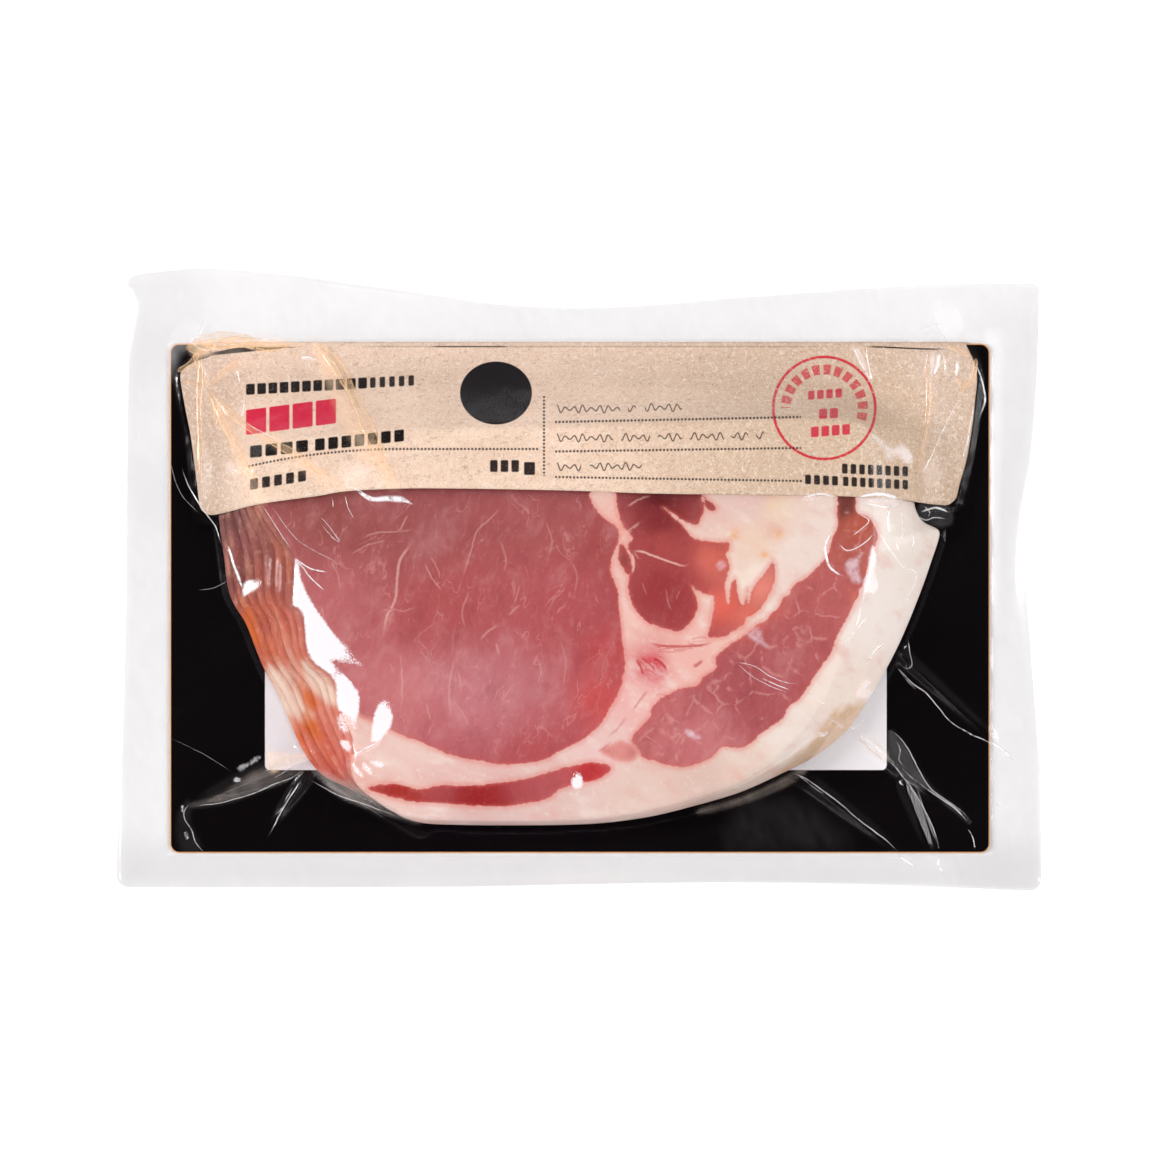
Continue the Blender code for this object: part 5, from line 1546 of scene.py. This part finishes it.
def thin_film(n, haze, white, through, gain):
    """Clear film that shines the same from inside the pouch as from outside."""
    inside = n.node("ShaderNodeNewGeometry").outputs["Backfacing"]
    ior = n.math("MULTIPLY_ADD", inside, 1 / 1.5 - 1.5, 1.5)
    gloss = n.node("ShaderNodeFresnel", {"IOR": ior}).outputs[0]
    gloss = n.math("MULTIPLY", gloss, gain, clamp=True)
    shine = n.math("DIVIDE", gloss, n.math("ADD", n.math("ADD", gloss, haze), 0.001))
    mirror = n.node("ShaderNodeBsdfPrincipled", {"Base Color": white, "Roughness": 0.12, "Metallic": shine})
    clear = n.node("ShaderNodeBsdfTransparent", {"Color": through})
    fac = n.math("ADD", gloss, haze, clamp=True)
    out = n.node("ShaderNodeMixShader", {0: fac, 1: clear.outputs[0], 2: mirror.outputs[0]})
    return n.surface(out.outputs[0])


def film_material():
    n = Nodes("clear film")
    fine = n.coords()
    # painted highlights: the highlight outlines turn the film white, with ragged edges, over the milky veils
    edge = n.math("ADD", n.attr("painted_highlight"), n.math("MULTIPLY_ADD", n.noise(fine, 1.3, 2, 0.6), 0.9, -0.45))
    speckle = n.math("MULTIPLY", n.math("MULTIPLY_ADD", n.noise(fine, 3.2, 2, 0.6), 9.0, -5.2), n.attr("highlight_fray"))
    edge = n.math("ADD", edge, speckle)
    highlight_patch = n.math("MULTIPLY", n.ramp(edge, -0.2, 0.55), n.attr("painted_highlight_level"))
    haze = n.math("MAXIMUM", highlight_patch, n.attr("veil"))
    white = n.mix(n.math("MULTIPLY", n.attr("veil_tint"), n.ramp(highlight_patch, 0.3, 0.0)), rgba(252, 247, 250, 0.98), rgba(255, 222, 190))
    grey = n.attr("clear")
    through = n.node("ShaderNodeCombineColor", {0: grey, 1: n.math("MULTIPLY", grey, 0.997), 2: grey}).outputs[0]
    return thin_film(n, haze, white, through, n.math("MULTIPLY", n.attr("gloss"), 1.2))


def crease_material():
    n = Nodes("film crease")
    fine = n.coords()
    u = n.math("ABSOLUTE", n.attr("across"))
    kind = n.attr("band")
    # the white line along a clear crease is a painted highlight
    line = n.ramp(u, 1.0, 0.25)
    sides = n.math("MAXIMUM", n.ramp(n.math("ABSOLUTE", n.math("SUBTRACT", u, 0.72)), 0.26, 0.05), 0.38)
    sides = n.math("MULTIPLY", sides, n.ramp(u, 1.0, 0.9))
    body = n.math("ADD", n.math("MULTIPLY", line, n.math("SUBTRACT", 1.0, kind)), n.math("MULTIPLY", sides, kind))
    broken = n.ramp(n.noise(fine, 0.7, 3, 0.6), 0.32, 0.52, 0.3, 1.0)
    haze = n.math("MULTIPLY", n.math("MULTIPLY", body, n.attr("power")), broken)
    white = n.mix(n.attr("tint"), rgba(252, 250, 252, 0.98), rgba(255, 212, 166))
    gain = n.math("MULTIPLY_ADD", kind, -1.2, 1.5)
    return thin_film(n, haze, white, (0.988, 0.986, 0.988, 1), gain)


dress(FILM_OBJ, film_material())
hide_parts("sealed_pouch")
FILM_OBJ.visible_shadow = False

FILM_TREE = BVHTree.FromPolygons(
    [tuple(v) for v in np.column_stack((FILM_X.ravel(), FILM_Y.ravel(), FILM_Z.ravel()))],
    [tuple(map(int, q)) for q in grid_faces(*FILM_X.shape)],
)


def film_z(x, y):
    out = np.empty(len(x))
    for k, (a, b) in enumerate(zip(x, y)):
        hit = FILM_TREE.ray_cast((a, b, 60.0), (0, 0, -1))[0]
        out[k] = hit[2] if hit else 0.3
    return out


def on_film(points):
    """Picture positions as millimetres on the film."""
    q = np.asarray(points, float)
    z = np.full(len(q), 2.0)
    for _ in range(4):
        k = PX * (CAM - z) / CAM
        x, y = (q[:, 0] - 580.5) * k + 0.25, -(q[:, 1] - 580.5) * k - 0.25
        z = film_z(x, y)
    return np.column_stack((x, y))


def crease_pieces():
    """Folds in the film: low ridges along it, thin at both ends."""
    shape = np.array((-1.0, -0.6, -0.25, 0.25, 0.6, 1.0))
    rise = np.array((0.0, 0.5, 0.85, 0.85, 0.5, 0.0))
    m = len(shape)
    verts, faces, u, power, tint, band = [], [], [], [], [], []
    for points, half, strength, tan in CREASES:
        line = on_film(spline(points, False, 6))
        run = np.concatenate(([0], np.cumsum(np.hypot(*np.diff(line, axis=0).T))))
        count = max(6, int(run[-1] / 0.55))
        t = np.linspace(0, run[-1], count)
        x, y = np.interp(t, run, line[:, 0]), np.interp(t, run, line[:, 1])
        jog = 0.12 * noise(t, np.full(count, half * 40 + strength * 7), 2.5, 77, 2)
        dx, dy = np.gradient(x), np.gradient(y)
        ln = np.maximum(np.hypot(dx, dy), 1e-9)
        nx, ny = -dy / ln, dx / ln
        share = t / run[-1]
        taper = smooth(-0.04, 0.2, share) * smooth(1.04, 0.72, share)
        taper = taper * (1 + 0.35 * noise(t, np.full(count, 3.0 + half), 3.0, 78, 2))
        w = np.maximum(half * (1.45 if tan == 1 and half > 0.35 else 1.1 if tan or half > 0.3 else 0.9) * taper, 0.03)
        gx = x[:, None] + nx[:, None] * (shape * w[:, None] + jog[:, None])
        gy = y[:, None] + ny[:, None] * (shape * w[:, None] + jog[:, None])
        base = film_z(gx.ravel(), gy.ravel()).reshape(gx.shape)
        top = base + 0.02 + rise * np.minimum(w, 0.5)[:, None] * 0.5
        low = base - 0.03
        start = len(verts)
        for j in range(count):
            verts += [(gx[j, c], gy[j, c], top[j, c]) for c in range(m)]
            verts += [(gx[j, c], gy[j, c], low[j, c]) for c in range(m - 1, -1, -1)]
        ring = 2 * m
        for j in range(count - 1):
            a = start + j * ring
            faces += [(a + c, a + (c + 1) % ring, a + ring + (c + 1) % ring, a + ring + c) for c in range(ring)]
        faces.append(tuple(range(start, start + ring))[::-1])
        faces.append(tuple(range(start + (count - 1) * ring, start + count * ring)))
        u += list(np.tile(np.concatenate((shape, shape[::-1])), count))
        fade = strength * smooth(0, 0.12, share) * smooth(1, 0.85, share)
        power += list((fade[:, None] * np.repeat((1.0, 0.0), m)[None, :]).ravel())
        tint += [float(tan)] * (count * ring)
        band += [1.0 if tan == 1 and half > 0.35 else 0.0] * (count * ring)
    obj = piece("film_creases", verts, faces)
    for name, v in (("across", u), ("power", power), ("tint", tint), ("band", band)):
        attribute(obj, name, v)
    return obj


CREASE_OBJ = crease_pieces()
dress(CREASE_OBJ, crease_material())
CREASE_OBJ.visible_shadow = False


# ------------------------------------------------------------- the studio ---
def floor_piece():
    size = 4000.0
    obj = piece("floor", [(-size, -size, -0.15), (size, -size, -0.15), (size, size, -0.15), (-size, size, -0.15)], [(0, 1, 2, 3)], smooth_shade=False)
    n = Nodes("floor")
    tone = n.ramp(n.noise(n.coords((0.002, 0.002, 0.002)), 1.0, 2), 0.0, 1.0, 0.90, 0.94)
    colour = n.node("ShaderNodeCombineColor", {0: tone, 1: tone, 2: tone}).outputs[0]
    bsdf = n.node("ShaderNodeBsdfPrincipled", {"Base Color": colour, "Roughness": 0.9, "Specular IOR Level": 0.0})
    obj.data.materials.append(n.surface(bsdf.outputs[0]))


floor_piece()


def soft_light(name, where, size, power):
    light = bpy.data.lights.new(name, "AREA")
    light.shape = "RECTANGLE"
    light.size, light.size_y = size
    light.energy = power
    obj = bpy.data.objects.new(name, light)
    obj.location = where
    aim = -obj.location
    obj.rotation_euler = aim.to_track_quat("-Z", "Y").to_euler()
    bpy.context.scene.collection.objects.link(obj)


for lamp in LIGHTS:
    soft_light(*lamp)


def studio_world():
    world = bpy.data.worlds.new("studio")
    bpy.context.scene.world = world
    world.use_nodes = True
    tree = world.node_tree
    tree.nodes.clear()
    out = tree.nodes.new("ShaderNodeOutputWorld")
    back = tree.nodes.new("ShaderNodeBackground")
    coord = tree.nodes.new("ShaderNodeTexCoord")
    sep = tree.nodes.new("ShaderNodeSeparateXYZ")
    ramp = tree.nodes.new("ShaderNodeMapRange")
    ramp.interpolation_type = "SMOOTHSTEP"
    for key, v in (("From Min", 0.97), ("From Max", 0.80), ("To Min", 0.02), ("To Max", 0.36)):
        ramp.inputs[key].default_value = v
    path = tree.nodes.new("ShaderNodeLightPath")
    pick = tree.nodes.new("ShaderNodeMix")
    tree.links.new(coord.outputs["Generated"], sep.inputs[0])
    tree.links.new(sep.outputs[2], ramp.inputs["Value"])
    tree.links.new(path.outputs["Is Camera Ray"], pick.inputs[0])
    tree.links.new(ramp.outputs[0], pick.inputs[2])
    pick.inputs[3].default_value = 1.0
    tree.links.new(pick.outputs[0], back.inputs["Strength"])
    tree.links.new(back.outputs[0], out.inputs["Surface"])


studio_world()

camera = bpy.data.cameras.new("camera")
camera.sensor_fit = "HORIZONTAL"
camera.sensor_width = 36.0
camera.lens = 36.0 * CAM / (1161 * PX)
camera.clip_start, camera.clip_end = 0.05, 30.0
cam = bpy.data.objects.new("camera", camera)
cam.location = (0.25 * MM, -0.25 * MM, CAM * MM)
bpy.context.scene.collection.objects.link(cam)
bpy.context.scene.camera = cam
bpy.context.scene.view_settings.view_transform = "Standard"
bpy.context.scene.view_settings.look = "None"
